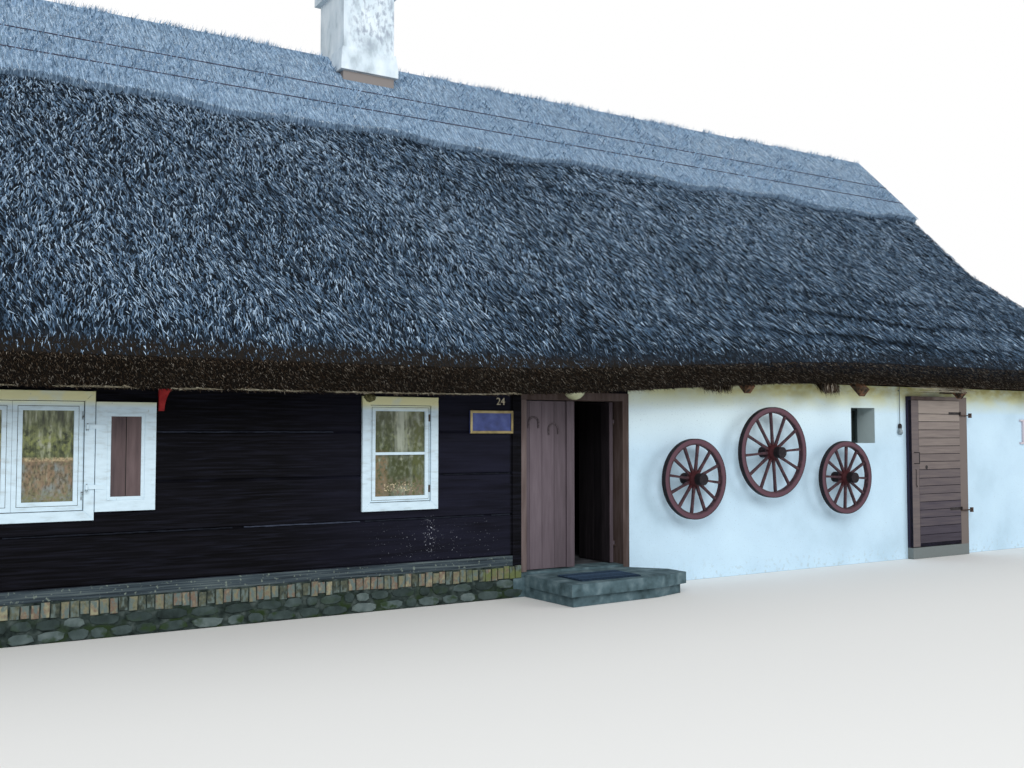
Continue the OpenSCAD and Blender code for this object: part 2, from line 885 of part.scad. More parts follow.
// Flared course: a cut pyramid round the shaft
module chimney_drip() {
    foot_x = chimney_w / 2 + drip_out;
    foot_y = chimney_d / 2 + drip_out;
    head = 20;
    color("lightgray") difference() {
        translate([chimney_x, 0, drip_z]) intersection() {
            along_y(-foot_y, foot_y) polygon([
                [-foot_x, 0], [foot_x, 0], [foot_x, drip_h / 3],
                [chimney_w / 2 + head, drip_h], [-chimney_w / 2 - head, drip_h], [-foot_x, drip_h / 3]
            ]);
            along_x(-foot_x, foot_x) polygon([
                [-foot_y, 0], [foot_y, 0], [foot_y, drip_h / 3],
                [chimney_d / 2 + head, drip_h], [-chimney_d / 2 - head, drip_h], [-foot_y, drip_h / 3]
            ]);
        }
        block([chimney_x0, -chimney_d / 2, 0], [chimney_x1, chimney_d / 2, sky]);
    }
}

module chimney_courses() {
    chimney_drip();
    chimney_cap();
}

module chimney_cap() {
    half_x = chimney_w / 2;
    half_y = chimney_d / 2;
    color("lightgray") difference() {
        union() {
            block(
                [chimney_x - half_x - cap_out, -half_y - cap_out, cap_z],
                [chimney_x + half_x + cap_out, half_y + cap_out, cap_z + cap_h]
            );
            block(
                [chimney_x - half_x, -half_y, cap_z + cap_h],
                [chimney_x + half_x, half_y, cap_z + cap_h + crown_h]
            );
        }
        flue();
    }
}

// Windows

module ring(w, h, t, y0, y1) {
    difference() {
        translate([-w / 2, y0, 0]) cube([w, y1 - y0, h]);
        translate([-w / 2 + t, y0 - 1, t]) cube([w - 2 * t, y1 - y0 + 2, h - 2 * t]);
    }
}

module at_window(w, rise) {
    on_wall(w[SIDE]) translate([w[PLACE], 0, w[2] + rise]) children();
}

// Linings of the log house windows, and the frames deep in the byre niches
module window_linings() {
    niche_frame_d = 45;
    color("white") for (w = WINDOWS)
        at_window(w, trim_w - lining_t)
            ring(w[3] - 2 * trim_w + 2 * lining_t, w[4] - 2 * trim_w + 2 * lining_t, lining_t, 0, log_t);
    color("dimgray") for (n = NICHES)
        on_wall(n[SIDE]) translate([n[PLACE], 0, niche_z])
            ring(niche_w, niche_h, niche_frame, niche_in, niche_in + niche_frame_d);
}

module window_trims() {
    color("white") for (w = WINDOWS)
        at_window(w, 0) ring(w[3], w[4], trim_w, -trim_t, 0);
}

// Calls its child once for each casement, at the middle of its foot
module each_casement(w, inner_w) {
    n = w[5];
    for (i = [0:n - 1])
        at_window(w, trim_w) translate([(i + 0.5) * inner_w / n - inner_w / 2, 0, 0]) children();
}

casement_gap = 3;
function inner_w(w) = w[3] - 2 * trim_w;
function inner_h(w) = w[4] - 2 * trim_w;
function casement_w(w) = inner_w(w) / w[5] - (w[5] - 1) * casement_gap / w[5];

module casements() {
    y0 = -casement_out;
    y1 = casement_t - casement_out;
    color("white") for (w = WINDOWS)
        each_casement(w, inner_w(w) + (w[5] - 1) * casement_gap / w[5]) {
            ring(casement_w(w), inner_h(w), w[6], y0, y1);
            if (w[7] > 0) translate([-casement_w(w) / 2 + w[6], y0, inner_h(w) / 2 - bar_h / 2])
                cube([casement_w(w) - 2 * w[6], y1 - y0, bar_h]);
        }
}

module window_glass() {
    y0 = casement_t / 2 - casement_out;
    color("lightblue", 0.5) {
        for (w = WINDOWS)
            each_casement(w, inner_w(w) + (w[5] - 1) * casement_gap / w[5]) difference() {
                pane_w = casement_w(w) - 2 * w[6];
                translate([-pane_w / 2, y0, w[6]]) cube([pane_w, glass_t, inner_h(w) - 2 * w[6]]);
                if (w[7] > 0) translate([-pane_w, y0 - 1, inner_h(w) / 2 - bar_h / 2])
                    cube([2 * pane_w, glass_t + 2, bar_h]);
            }
        for (n = NICHES)
            on_wall(n[SIDE]) translate([n[PLACE] - niche_w / 2, niche_in + 20, niche_z])
                translate([niche_frame, 0, niche_frame])
                    cube([niche_w - 2 * niche_frame, glass_t, niche_h - 2 * niche_frame]);
    }
}

// Hinges: the pin stands on the Z axis, the strap lies on a face at y = -pin_off

module strap(length) {
    difference() {
        union() {
            cylinder(h = strap_h, r = eye_r);
            translate([0, -pin_off, 0]) cube([length, strap_t, strap_h]);
        }
        translate([0, 0, -1]) cylinder(h = strap_h + 2, r = pin_r + pin_play);
    }
}

// A round boss carries the pin, and an arm over the box from low to high, in plan, carries the boss
boss_r = eye_r - 2;
module pintle(low, high) {
    pin_over = 8;
    translate([0, 0, -eye_gap - arm_h]) {
        cylinder(h = arm_h + eye_gap + strap_h + pin_over, r = pin_r);
        cylinder(h = arm_h, r = boss_r);
        translate([low[0], low[1], 0]) cube([high[0] - low[0], high[1] - low[1], arm_h]);
    }
}

// Shutters, drawn open: the right one, and its mirror image

shutter_axis_x = left_win_w / 2 - shutter_pin_in;
shutter_axis_y = -(pin_off + shutter_t + 6);
shutter_straps = [shutter_z + shutter_strap_in, shutter_z + shutter_h - shutter_strap_in - strap_h];

module at_shutter(side) {
    translate([left_win_x, -half_d, 0]) mirror([side == "left" ? 1 : 0, 0, 0])
        translate([shutter_axis_x, shutter_axis_y, 0]) children();
}

module shutter(side) {
    board_gap = 6;
    at_shutter(side) {
        color("whitesmoke") difference() {
            translate([shutter_arm, pin_off, shutter_z]) cube([shutter_w, shutter_t, shutter_h]);
            translate([shutter_arm + shutter_rail, pin_off - 1, shutter_z + shutter_rail])
                cube([shutter_w - 2 * shutter_rail, panel_in + 1, shutter_h - 2 * shutter_rail]);
            translate([shutter_arm + shutter_w / 2 - board_gap / 2, pin_off - 1, shutter_z + shutter_rail])
                cube([board_gap, panel_in + 4, shutter_h - 2 * shutter_rail]);
        }
        color("dimgray") for (z = shutter_straps)
            translate([0, 0, z]) mirror([0, 1, 0]) strap(shutter_arm + shutter_rail - 12);
    }
}

module shutter_left() {
    shutter("left");
}

module shutter_right() {
    shutter("right");
}

module shutter_pintles() {
    for (side = ["left", "right"], z = shutter_straps)
        at_shutter(side) translate([0, 0, z]) pintle([-boss_r, 0], [boss_r, -shutter_axis_y - trim_t]);
}

// Front door

module front_door_frame() {
    y0 = -half_d - frame_out;
    y1 = -half_d + frame_d;
    block([door_x1, y0, floor_z - 50], [junction, y1, top_log_z]);
    block([door_x0, y0, door_z1], [junction, y1, top_log_z]);
}

door_pin_in = eye_r + 4;
door_pin_y = leaf_y + leaf_t + pin_off;
door_straps = [leaf_z0 + strap_in, leaf_z0 + leaf_h - strap_in - strap_h];

// Draws a leaf in its closed place, its hinge pin on the Z axis and the leaf along +X
module leaf(width) {
    edge = leaf_gap - door_pin_in;
    color("rosybrown") translate([edge, -pin_off - leaf_t, leaf_z0]) cube([width, leaf_t, leaf_h]);
    color("dimgray") for (z = door_straps)
        translate([0, 0, z]) strap(door_strap_l);
}

module door_leaf_left() {
    strip_x = leaf_gap - door_pin_in + left_leaf_w - strip_w;
    translate([door_x0 + door_pin_in, door_pin_y, 0]) {
        leaf(left_leaf_w);
        color("rosybrown") translate([strip_x, -pin_off - leaf_t - strip_t, leaf_z0])
            cube([strip_w, strip_t, leaf_h]);
    }
}

// The right leaf stands open, square to the wall
module door_leaf_right() {
    translate([door_x1 - door_pin_in, door_pin_y, 0]) rotate([0, 0, -90]) mirror([1, 0, 0])
        leaf(right_leaf_w);
}

module door_pintles() {
    for (z = door_straps) {
        translate([door_x0 + door_pin_in, door_pin_y, z]) pintle([-door_pin_in, -boss_r], [0, boss_r]);
        translate([door_x1 - door_pin_in, door_pin_y, z]) pintle([0, -boss_r], [door_pin_in, boss_r]);
    }
}

// Flat iron bent to a horseshoe, open at the top before it is turned
module horseshoe() {
    rotate([90, 0, 0]) linear_extrude(shoe_t) difference() {
        union() {
            circle(r = shoe_r);
            translate([-shoe_r, 0]) square([2 * shoe_r, shoe_r * 0.75]);
        }
        circle(r = shoe_r - shoe_w);
        translate([-shoe_r + shoe_w, 0]) square([2 * (shoe_r - shoe_w), shoe_r]);
    }
}

// Distance from the edge of the leaf, distance below the door head and turn of each horseshoe
shoe_places = [[205, 248, 180], [460, 318, 176]];

module horseshoes() {
    color("dimgray") for (p = shoe_places)
        translate([door_x0 + leaf_gap + p[0], leaf_y, door_z1 - p[1]]) rotate([0, p[2], 0]) horseshoe();
}

// Byre door

byre_face = -half_d - byre_out;
byre_pin_x = byre_x1 - hinge_jamb_w - leaf_gap / 2;
byre_pin_y = byre_face - pin_off;
byre_straps = [byre_floor_z + low_strap_up, byre_door_z - high_strap_down];

module byre_door_frame() {
    back = -half_d + byre_frame_in;
    block([byre_x1 - hinge_jamb_w, byre_face, byre_floor_z], [byre_x1, back, byre_door_z]);
    block([byre_x0, byre_face + byre_leaf_t + 6, byre_floor_z], [byre_x0 + shut_jamb_w, back, byre_door_z]);
    block([byre_x0, byre_face, byre_door_z - byre_head], [byre_x1, back, byre_door_z]);
}

module door_frames() {
    color("rosybrown") {
        front_door_frame();
        byre_door_frame();
    }
}

module byre_door() {
    ledge_w = 110;
    ledge_t = 30;
    ledge_in = 60;
    back = byre_face + byre_leaf_t;
    color("rosybrown") {
        block([byre_x0, byre_face, byre_leaf_z0], [byre_leaf_x1, back, byre_leaf_z0 + byre_leaf_h]);
        for (z = byre_straps)
            translate([byre_x0 + shut_jamb_w + ledge_in, back, z + (strap_h - ledge_w) / 2])
                cube([byre_leaf_x1 - byre_x0 - shut_jamb_w - 2 * ledge_in, ledge_t, ledge_w]);
    }
}

// Bent rod of the pull handle
module pull_handle() {
    for (z = [0, pull_h])
        translate([0, 0, z]) rotate([90, 0, 0]) cylinder(h = pull_out, r = pull_r);
    translate([0, -pull_out, -pull_r]) cylinder(h = pull_h + 2 * pull_r, r = pull_r);
}

module byre_door_iron() {
    key_plate_t = 8;
    key_plate_r = 26;
    color("#2e2a28") {
        for (z = byre_straps)
            translate([byre_pin_x, byre_pin_y, z]) rotate([0, 0, 180]) strap(byre_strap_l);
        translate([byre_x0 + pull_in, byre_face, pull_z]) pull_handle();
        translate([byre_x0 + key_in, byre_face, key_z]) rotate([90, 0, 0])
            cylinder(h = key_plate_t, r = key_plate_r);
    }
}

// Pins whose plates cross the jamb and end in a knob beside it
module byre_pintles() {
    plate_l = hinge_jamb_w + plate_over;
    knob_r = 24;
    knob_h = 64;
    for (z = byre_straps)
        translate([byre_pin_x, byre_pin_y, z]) {
            pintle([leaf_gap / 2, -boss_r], [plate_l, pin_off]);
            translate([plate_l, 0, -eye_gap - (arm_h + knob_h) / 2]) cylinder(h = knob_h, r = knob_r);
        }
}

// Fixed pins of every hinge
module hinge_pintles() {
    color("#2e2a28") {
        shutter_pintles();
        door_pintles();
        byre_pintles();
    }
}

// Step and mat

module step_plan(inset) {
    left = post_x0 + 140;
    right = junction + 220;
    front = -half_d - step_d;
    skew = 60;
    corner = [450, 180];
    notch = [330, 420];
    polygon([
        [left, -half_d - 2 * step_out], [left + inset, front + inset],
        [right - corner[0], front + skew + inset], [right - inset, front + corner[1] + inset],
        [right - inset, -half_d - notch[1]], [right - notch[0], -half_d - 2 * step_out]
    ]);
}

module door_step() {
    color("lightslategray") {
        translate([0, 0, step_z - step_slab_h]) linear_extrude(step_slab_h) step_plan(0);
        linear_extrude(step_z - step_slab_h) step_plan(45);
    }
}

module door_mat() {
    mat_x = door_x0 + 260;
    mat_y = -half_d - 300 - mat_d;
    color("#2b2d33") translate([mat_x, mat_y, step_z]) cube([mat_l, mat_d, mat_h]);
}

// Cart wheels hung on the whitewashed wall

wheel_rs = [wheel_r, wheel_big_r, wheel_r];

// The wheel's axle lies along Z, with the wall at z = 0
module wheel_wood(r, turn) {
    rim_out = r - tyre_t;
    rim_in = rim_out - felloe_d;
    spoke_foot = nave_r - 10;
    spoke_end = rim_in + 12;
    waist_r = rim_in * 0.55;
    waist = 0.36 * spoke_w;
    tongue = 0.45 * spoke_w;
    neck = nave_end_r + 4;
    rotate_extrude() polygon([
        [0, 0], [nave_end_r, 0], [neck, wheel_out - 60], [nave_r, wheel_out - 28],
        [nave_r, wheel_out + 28], [neck, wheel_out + 60], [nave_end_r, nave_l], [0, nave_l]
    ]);
    translate([0, 0, wheel_out - felloe_w / 2]) difference() {
        cylinder(h = felloe_w, r = rim_out, $fn = 96);
        translate([0, 0, -1]) cylinder(h = felloe_w + 2, r = rim_in, $fn = 96);
    }
    for (i = [0:spokes - 1])
        rotate([0, 0, turn + i * 360 / spokes]) translate([0, 0, wheel_out - spoke_t / 2])
            linear_extrude(spoke_t) polygon([
                [spoke_foot, -spoke_w / 2], [waist_r, -waist], [spoke_end, -tongue],
                [spoke_end, tongue], [waist_r, waist], [spoke_foot, spoke_w / 2]
            ]);
}

module wheel_iron(r) {
    band_w = 24;
    translate([0, 0, wheel_out - felloe_w / 2]) difference() {
        cylinder(h = felloe_w, r = r, $fn = 96);
        translate([0, 0, -1]) cylinder(h = felloe_w + 2, r = r - tyre_t, $fn = 96);
    }
    translate([0, 0, nave_l]) cylinder(h = band_w, r = nave_end_r);
}

module at_wheel(i) {
    translate([junction + wheel_off[i], -half_d, wheel_z[i]]) rotate([90, 0, 0]) children();
}

module cart_wheels() {
    color("#5a3a34") for (i = [0:2]) at_wheel(i) wheel_wood(wheel_rs[i], wheel_turn[i]);
}

module wheel_irons() {
    color("#2a2624") for (i = [0:2]) at_wheel(i) wheel_iron(wheel_rs[i]);
}

// Sign, lamp, bulb and irons on the walls

module sign_board() {
    border = 26;
    sign_z = top_log_z - sign_down - sign_h;
    color("midnightblue") difference() {
        translate([post_x0 - sign_w, -half_d - sign_t, sign_z]) cube([sign_w, sign_t, sign_h]);
        translate([post_x0 - sign_w + border, -half_d - sign_t - 1, sign_z + border])
            cube([sign_w - 2 * border, 5, sign_h - 2 * border]);
    }
}

module globe_lamp() {
    base_r = globe_up - 4;
    globe_out = globe_r + 30;
    color("ivory") translate([junction - lamp_off, -half_d, top_log_z + globe_up]) {
        rotate([90, 0, 0]) cylinder(h = globe_out, r = base_r);
        translate([0, -globe_out, 0]) sphere(r = globe_r);
    }
}

module wall_bulb() {
    holder_r = 20;
    holder_h = 70;
    cable_r = 5;
    clip_y = holder_r;
    color("dimgray") translate([junction + bulb_off, -half_d - clip_y, wall_h - bulb_down]) {
        sphere(r = bulb_r - 12);
        cylinder(h = holder_h, r = holder_r - 4);
        translate([0, 0, holder_h]) cylinder(h = bulb_down - holder_h, r = cable_r);
        for (z = [holder_h, bulb_down - 60])
            translate([-8, 0, z]) cube([16, clip_y, 14]);
    }
}

module lamps() {
    globe_lamp();
    wall_bulb();
}

// Corbel under the top log, hollowed on one side
module corbel() {
    foot = 44;
    nose = 16;
    reach = corbel_w - foot;
    rise = corbel_h - nose;
    hollow_r = (reach * reach + rise * rise) / (2 * reach);
    color("firebrick") rotate([90, 0, 0]) linear_extrude(corbel_t) difference() {
        square([corbel_w, corbel_h]);
        translate([foot + hollow_r, 0]) circle(r = hollow_r, $fn = 96);
    }
}

// The corbel beside the shutter, and the wall anchor with its cross bars
module wall_irons() {
    corbel_x = left_win_x + shutter_axis_x + shutter_arm + shutter_w + 20;
    bar = 28;
    anchor_w = 150;
    translate([corbel_x, -half_d, top_log_z - corbel_h]) corbel();
    color("white") translate([junction + anchor_off, -half_d, wall_h - anchor_down - anchor_h]) {
        translate([-bar / 2, -bar, 0]) cube([bar, bar, anchor_h]);
        for (z = [0, anchor_h - bar])
            translate([-anchor_w / 2, -bar, z]) cube([anchor_w, bar, bar]);
    }
}

plinth();
sill_beams();
front_log_wall();
back_log_wall();
left_log_wall();
top_logs();
corner_posts();
thresholds();
floors();
byre_front_wall();
byre_door_lintel();
byre_back_wall();
byre_end_wall();
joists();
roof_plates();
loft_floor();
rafters();
battens();
gable_boards();
thatch_front();
thatch_back();
end_skirts();
ridge_cap();
ridge_wires();
chimney_shaft();
chimney_courses();
window_linings();
window_trims();
casements();
window_glass();
shutter_left();
shutter_right();
door_frames();
hinge_pintles();
door_leaf_left();
door_leaf_right();
horseshoes();
byre_door();
byre_door_iron();
door_step();
door_mat();
cart_wheels();
wheel_irons();
sign_board();
lamps();
wall_irons();
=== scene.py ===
import math

import bpy
import numpy as np
from mathutils import Matrix, Vector, noise


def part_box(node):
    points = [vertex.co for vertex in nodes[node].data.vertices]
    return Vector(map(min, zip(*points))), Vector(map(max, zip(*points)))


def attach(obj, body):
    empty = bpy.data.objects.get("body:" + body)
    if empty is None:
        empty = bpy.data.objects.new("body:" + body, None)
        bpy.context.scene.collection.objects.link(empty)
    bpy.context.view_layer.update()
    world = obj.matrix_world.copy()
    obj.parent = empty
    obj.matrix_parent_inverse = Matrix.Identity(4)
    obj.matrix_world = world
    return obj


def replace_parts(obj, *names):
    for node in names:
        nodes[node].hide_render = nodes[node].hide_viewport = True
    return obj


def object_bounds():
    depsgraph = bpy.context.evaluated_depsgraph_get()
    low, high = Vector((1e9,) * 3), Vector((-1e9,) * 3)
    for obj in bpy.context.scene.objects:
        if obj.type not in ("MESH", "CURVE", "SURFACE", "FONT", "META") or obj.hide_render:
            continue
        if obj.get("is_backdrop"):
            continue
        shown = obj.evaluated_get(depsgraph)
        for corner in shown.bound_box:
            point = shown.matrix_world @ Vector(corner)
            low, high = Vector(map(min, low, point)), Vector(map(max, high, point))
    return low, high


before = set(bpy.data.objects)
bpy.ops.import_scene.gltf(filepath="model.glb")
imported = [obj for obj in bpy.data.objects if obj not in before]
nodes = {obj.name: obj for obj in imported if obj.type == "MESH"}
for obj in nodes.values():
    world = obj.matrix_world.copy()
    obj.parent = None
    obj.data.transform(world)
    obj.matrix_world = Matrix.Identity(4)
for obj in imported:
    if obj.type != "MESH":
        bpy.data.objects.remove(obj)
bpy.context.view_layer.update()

# Camera: at eye height before the left end of the house, looking along its front to the right
# and a little up.
yaw = math.radians(31.61)
pitch = math.radians(2.65)
camera_data = bpy.data.cameras.new("camera")
camera_data.lens = 36.5
camera_data.sensor_width = 36.0
camera = bpy.data.objects.new("camera", camera_data)
camera.location = (-7.6, -12.55, 1.723)
camera.rotation_euler = (math.pi / 2 + pitch, 0.0, -yaw)
bpy.context.scene.collection.objects.link(camera)
bpy.context.scene.camera = camera
bpy.context.scene.view_settings.view_transform = "Standard"


# Studio: a pale matt floor, a white backdrop, and large soft lamps in front of the house, at a
# level where a colour comes out about as it is written.
def linear(code):
    """Turns an sRGB hex colour into linear RGBA."""
    parts = [int(code[i:i + 2], 16) / 255 for i in (1, 3, 5)]
    return [p / 12.92 if p <= 0.04045 else ((p + 0.055) / 1.055) ** 2.4 for p in parts] + [1.0]


def add(tree, kind, inputs=None, stops=None, **settings):
    """Adds a shader node, sets or links its inputs, and fills its colour ramp where it has one."""
    made = tree.nodes.new("ShaderNode" + kind)
    for name, value in settings.items():
        setattr(made, name, value)
    for key, value in (inputs or {}).items():
        if isinstance(value, bpy.types.NodeSocket):
            tree.links.new(value, made.inputs[key])
        else:
            made.inputs[key].default_value = value
    if stops:
        elements = made.color_ramp.elements
        while len(elements) < len(stops):
            elements.new(0.5)
        for element, (position, code) in zip(elements, stops):
            element.position = position
            element.color = linear(code)
    return made


def start(name, roughness, metallic=0.0, gloss=0.5):
    """Makes a material and gives it, its tree, its shader and the object's coordinates in metres."""
    made = bpy.data.materials.new(name)
    made.use_nodes = True
    tree = made.node_tree
    shader = tree.nodes["Principled BSDF"]
    shader.inputs["Roughness"].default_value = roughness
    shader.inputs["Metallic"].default_value = metallic
    shader.inputs["Specular IOR Level"].default_value = gloss
    return made, tree, shader, add(tree, "TexCoord").outputs["Object"]


floor_half, floor_z = 400.0, -0.002
floor_mesh = bpy.data.meshes.new("floor")
floor_mesh.from_pydata(
    [(x * floor_half, y * floor_half, floor_z) for x, y in ((-1, -1), (1, -1), (1, 1), (-1, 1))],
    [], [(0, 1, 2, 3)],
)
floor_paint, _, floor_shader, _ = start("pale_floor", 0.9)
floor_shader.inputs["Base Color"].default_value = linear("#e6e6e4")
floor_mesh.materials.append(floor_paint)
floor = bpy.data.objects.new("floor", floor_mesh)
bpy.context.scene.collection.objects.link(floor)
floor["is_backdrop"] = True

world = bpy.data.worlds.new("studio")
world.use_nodes = True
bpy.context.scene.world = world
sky = world.node_tree
sky.nodes.clear()
soft = add(sky, "Background", {"Color": linear("#f2f5f8"), "Strength": 0.60})
white = add(sky, "Background", {"Color": linear("#ffffff"), "Strength": 1.0})
rays = add(sky, "LightPath").outputs
seen = add(sky, "Math", {0: rays["Is Camera Ray"], 1: rays["Is Glossy Ray"]}, operation="MAXIMUM")
seen = add(sky, "Math", {0: seen.outputs[0], 1: rays["Is Transmission Ray"]}, operation="MAXIMUM")
both = add(sky, "MixShader", {0: seen.outputs[0], 1: soft.outputs[0], 2: white.outputs[0]})
add(sky, "OutputWorld", {"Surface": both.outputs[0]})

for name, place, target, size, power in (
    ("key", (-12.0, -22.0, 14.0), (0.0, -3.0, 2.5), 12.0, 3600.0),
    ("fill", (14.0, -20.0, 8.0), (2.0, -3.0, 2.0), 10.0, 1300.0),
):
    lamp_data = bpy.data.lights.new(name, "AREA")
    lamp_data.size = size
    lamp_data.energy = power
    lamp = bpy.data.objects.new(name, lamp_data)
    lamp.location = place
    lamp.rotation_euler = (Vector(target) - Vector(place)).to_track_quat("-Z", "Y").to_euler()
    bpy.context.scene.collection.objects.link(lamp)


# Reed thatch of the long slopes and of the skirts under the gablets: bundles of reed laid butts
# down and dressed to the slope. It is old and grey, and loose ends stand up over a bed painted
# near black for the shade in the gaps; the ends are also darkened as painted shade under the
# steps of worn courses and near the eave. Reeds are 6 to 8 mm thick; they are drawn up to 20 mm
# wide, because finer ones don't show.
rng = np.random.default_rng(7)
thin = 1


def grain(tree, place, per_metre):
    """Noise from 0 to 1, with its own number of cells in a metre of X, of Y and of Z."""
    scaled = add(tree, "Mapping", {"Vector": place, "Scale": per_metre}).outputs["Vector"]
    return add(tree, "TexNoise", {"Vector": scaled, "Scale": 1.0, "Detail": 6.0}).outputs["Fac"]


def coat(name, roughness, per_metre, stops, depth, own=0.0, **shine):
    """Material whose one noise gives its colours and its relief, with the depth in metres."""
    made, tree, shader, place = start(name, roughness, **shine)
    value = grain(tree, place, per_metre)
    relief = add(tree, "Bump", {"Height": value, "Distance": depth}).outputs["Normal"]
    tree.links.new(relief, shader.inputs["Normal"])
    if own:
        tone = add(tree, "Attribute", attribute_name="tone").outputs["Fac"]
        value = add(tree, "Mix", {0: own, 2: value, 3: tone}).outputs[0]
    colour = add(tree, "ValToRGB", {"Fac": value}, stops).outputs["Color"]
    tree.links.new(colour, shader.inputs["Base Color"])
    return made


def cover(material, code, share):
    """Lays a colour over a material by a share from 0 to 1."""
    tree = material.node_tree
    target = tree.nodes["Principled BSDF"].inputs["Base Color"]
    mixed = add(tree, "Mix", {0: share, 6: target.links[0].from_socket, 7: linear(code)},
                data_type="RGBA").outputs[2]
    tree.links.new(mixed, target)


def stain(material, code, speckle=None, **ranges):
    """Covers a material between coordinates, and where a noise passes two values."""
    tree = material.node_tree
    place = tree.nodes["Texture Coordinate"].outputs["Object"]
    parts = add(tree, "SeparateXYZ", {0: place}).outputs
    steps = [(parts[axis.upper()], *pair) for axis, pairs in ranges.items() for pair in pairs]
    if speckle:
        steps.append((grain(tree, place, speckle[0]), *speckle[1:]))
    share = 1.0
    for value, first, last in steps:
        step = add(tree, "MapRange", {0: value, 1: first, 2: last}).outputs[0]
        share = add(tree, "Math", {0: step, 1: share}, operation="MULTIPLY").outputs[0]
    cover(material, code, share)


def dress(material, *names):
    """Gives CAD nodes a material in place of their plain one."""
    for name in names:
        slots = nodes[name].data.materials
        slots.clear()
        slots.append(material)


def piece(name, points, faces, material, body, tones=None):
    """Makes a mesh from points and faces, as a piece that rides on a body."""
    mesh = bpy.data.meshes.new(name)
    mesh.from_pydata(points, [], faces)
    mesh.materials.append(material)
    if tones is not None:
        mesh.attributes.new("tone", "FLOAT", "POINT").data.foreach_set("value", tones)
    made = bpy.data.objects.new(name, mesh)
    bpy.context.scene.collection.objects.link(made)
    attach(made, body)
    return made


def scatter(name, facing, count):
    """Random points on the faces of a CAD node that look one way, even over their area."""
    mesh = nodes[name].data
    mesh.calc_loop_triangles()
    places = np.array([v.co[:] for v in mesh.vertices])
    corners = places[[t.vertices[:] for t in mesh.loop_triangles]]
    normals = np.cross(corners[:, 1] - corners[:, 0], corners[:, 2] - corners[:, 0])
    areas = np.linalg.norm(normals, axis=1) + 1e-12
    areas = np.where(normals @ np.array(facing) / areas > 0.9, areas, 0.0)
    chosen = corners[rng.choice(len(areas), count // thin, p=areas / areas.sum())]
    u, v = rng.random((2, len(chosen), 1))
    u, v = np.where(u + v > 1, 1 - u, u), np.where(u + v > 1, 1 - v, v)
    return chosen[:, 0] + u * (chosen[:, 1] - chosen[:, 0]) + v * (chosen[:, 2] - chosen[:, 0])


def ripple(at, per_metre, seed):
    """Smooth waves from -1 to 1 over points, about so many in a metre."""
    waves = np.random.default_rng(seed)
    total = np.zeros(len(at))
    for _ in range(7):
        way = waves.normal(0.0, 1.0, 3)
        turns = at @ (way / np.linalg.norm(way)) * per_metre * waves.uniform(0.6, 1.4)
        total += np.sin(2 * math.pi * (turns + waves.random()))
    return np.tanh(total / 2)


def blades(name, at, along, out, tone, material, length, width, lift):
    """Thin pointed reed ends at points, lying along one direction and rising out of the surface."""
    count = len(at)
    along = np.array(along)
    out = np.array(out)
    across = np.cross(along, out)
    turn = (0.18 * ripple(at, 1.1, 11) + rng.normal(0.0, 0.2, count))[:, None]
    rise = lift * rng.uniform(0.2, 1.8, (count, 1))
    way = along + across * turn + out * rise
    way /= np.linalg.norm(way, axis=1, keepdims=True)
    reach = length * rng.uniform(0.5, 1.5, (count, 1))
    side = across * np.cos(turn) + out * rng.normal(0.0, 0.4, (count, 1)) - along * turn
    side *= width * rng.uniform(0.5, 1.5, (count, 1)) / 2
    root = at - way * reach * 0.5 - out * rise * reach * 0.3
    points = np.stack([root - side, root + side, root + way * reach], axis=1).reshape(-1, 3)
    faces = np.arange(count * 3).reshape(-1, 3).tolist()
    tones = np.repeat(np.clip(tone, 0.0, 1.0), 3)
    return piece(name, points.tolist(), faces, material, "house", tones)


def reed(name, stops):
    """Dull dry reed, with a tone of its own for each end."""
    made, tree, shader, _ = start(name, 0.85, gloss=0.15)
    tone = add(tree, "Attribute", attribute_name="tone").outputs["Fac"]
    colour = add(tree, "ValToRGB", {"Fac": tone}, stops).outputs["Color"]
    tree.links.new(colour, shader.inputs["Base Color"])
    return made


def above_edge(at):
    """Height of points over the lower edge of the thatch, as it runs along the front."""
    return at[:, 2] - np.interp(at[:, 0], edge_x, edge_z)


def ramp(value, first, last):
    """Share from 0 to 1 between two values."""
    return np.clip((value - first) / (last - first), 0.0, 1.0)


def courses(at, fall):
    """Rise of the worn courses out of a slope, and the share of light that reaches each point."""
    course = 0.52
    down = at @ np.array(fall) + 0.16 * ripple(at, 0.22, 3) + 0.05 * ripple(at, 0.9, 4)
    part = down / course % 1.0
    byre_foot = ramp(at[:, 0], 0.5, 3.5) * np.clip((4.3 - at[:, 2]) / 1.2, 0.15, 1.0)
    worn = np.clip(0.08 + 0.30 * ripple(at, 0.2, 5) + 0.45 * byre_foot, 0.0, 1.0)
    shade = 1.0 - 0.8 * worn * np.clip(1.0 - part / 0.2, 0.0, 1.0)
    above = above_edge(at)
    dim = np.where(rng.random(len(at)) < (above - 0.16) / 0.28, shade, 0.45 * rng.random(len(at)))
    return (0.024 + 0.04 * part * worn) * np.clip((above - 0.33) / 0.25, 0.1, 1.0), dim


eave_limit = 2.5
lowest = {}
for vertex in nodes["thatch_front"].data.vertices:
    x, y, z = vertex.co
    if z < lowest.get(round(x, 2), (0.0, eave_limit))[1]:
        lowest[round(x, 2)] = (y, z)
edge_x = np.array(sorted(lowest))
edge_y, edge_z = np.array([lowest[x] for x in edge_x]).T
slant = math.sqrt(0.5)
slopes = {
    "front": ((0.0, -slant, -slant), (0.0, -slant, slant)),
    "back": ((0.0, slant, -slant), (0.0, slant, slant)),
    "left": ((-slant, 0.0, -slant), (-slant, 0.0, slant)),
    "right": ((slant, 0.0, -slant), (slant, 0.0, slant)),
}
# Painted shade: the bed under the reed ends is near black, for the shade between them, and brown at the
# eave.
thatch_bed_painted_shade = coat("thatch_bed_painted_shade", 0.95, (45.0, 12.0, 12.0),
                  [(0.30, "#080c11"), (0.52, "#17202a"), (0.70, "#2f3d4b")], 0.02, gloss=0.1)
stain(thatch_bed_painted_shade, "#1b1815", z=[(2.52, 2.42)])
dress(thatch_bed_painted_shade, "thatch_front", "thatch_back", "end_skirts")
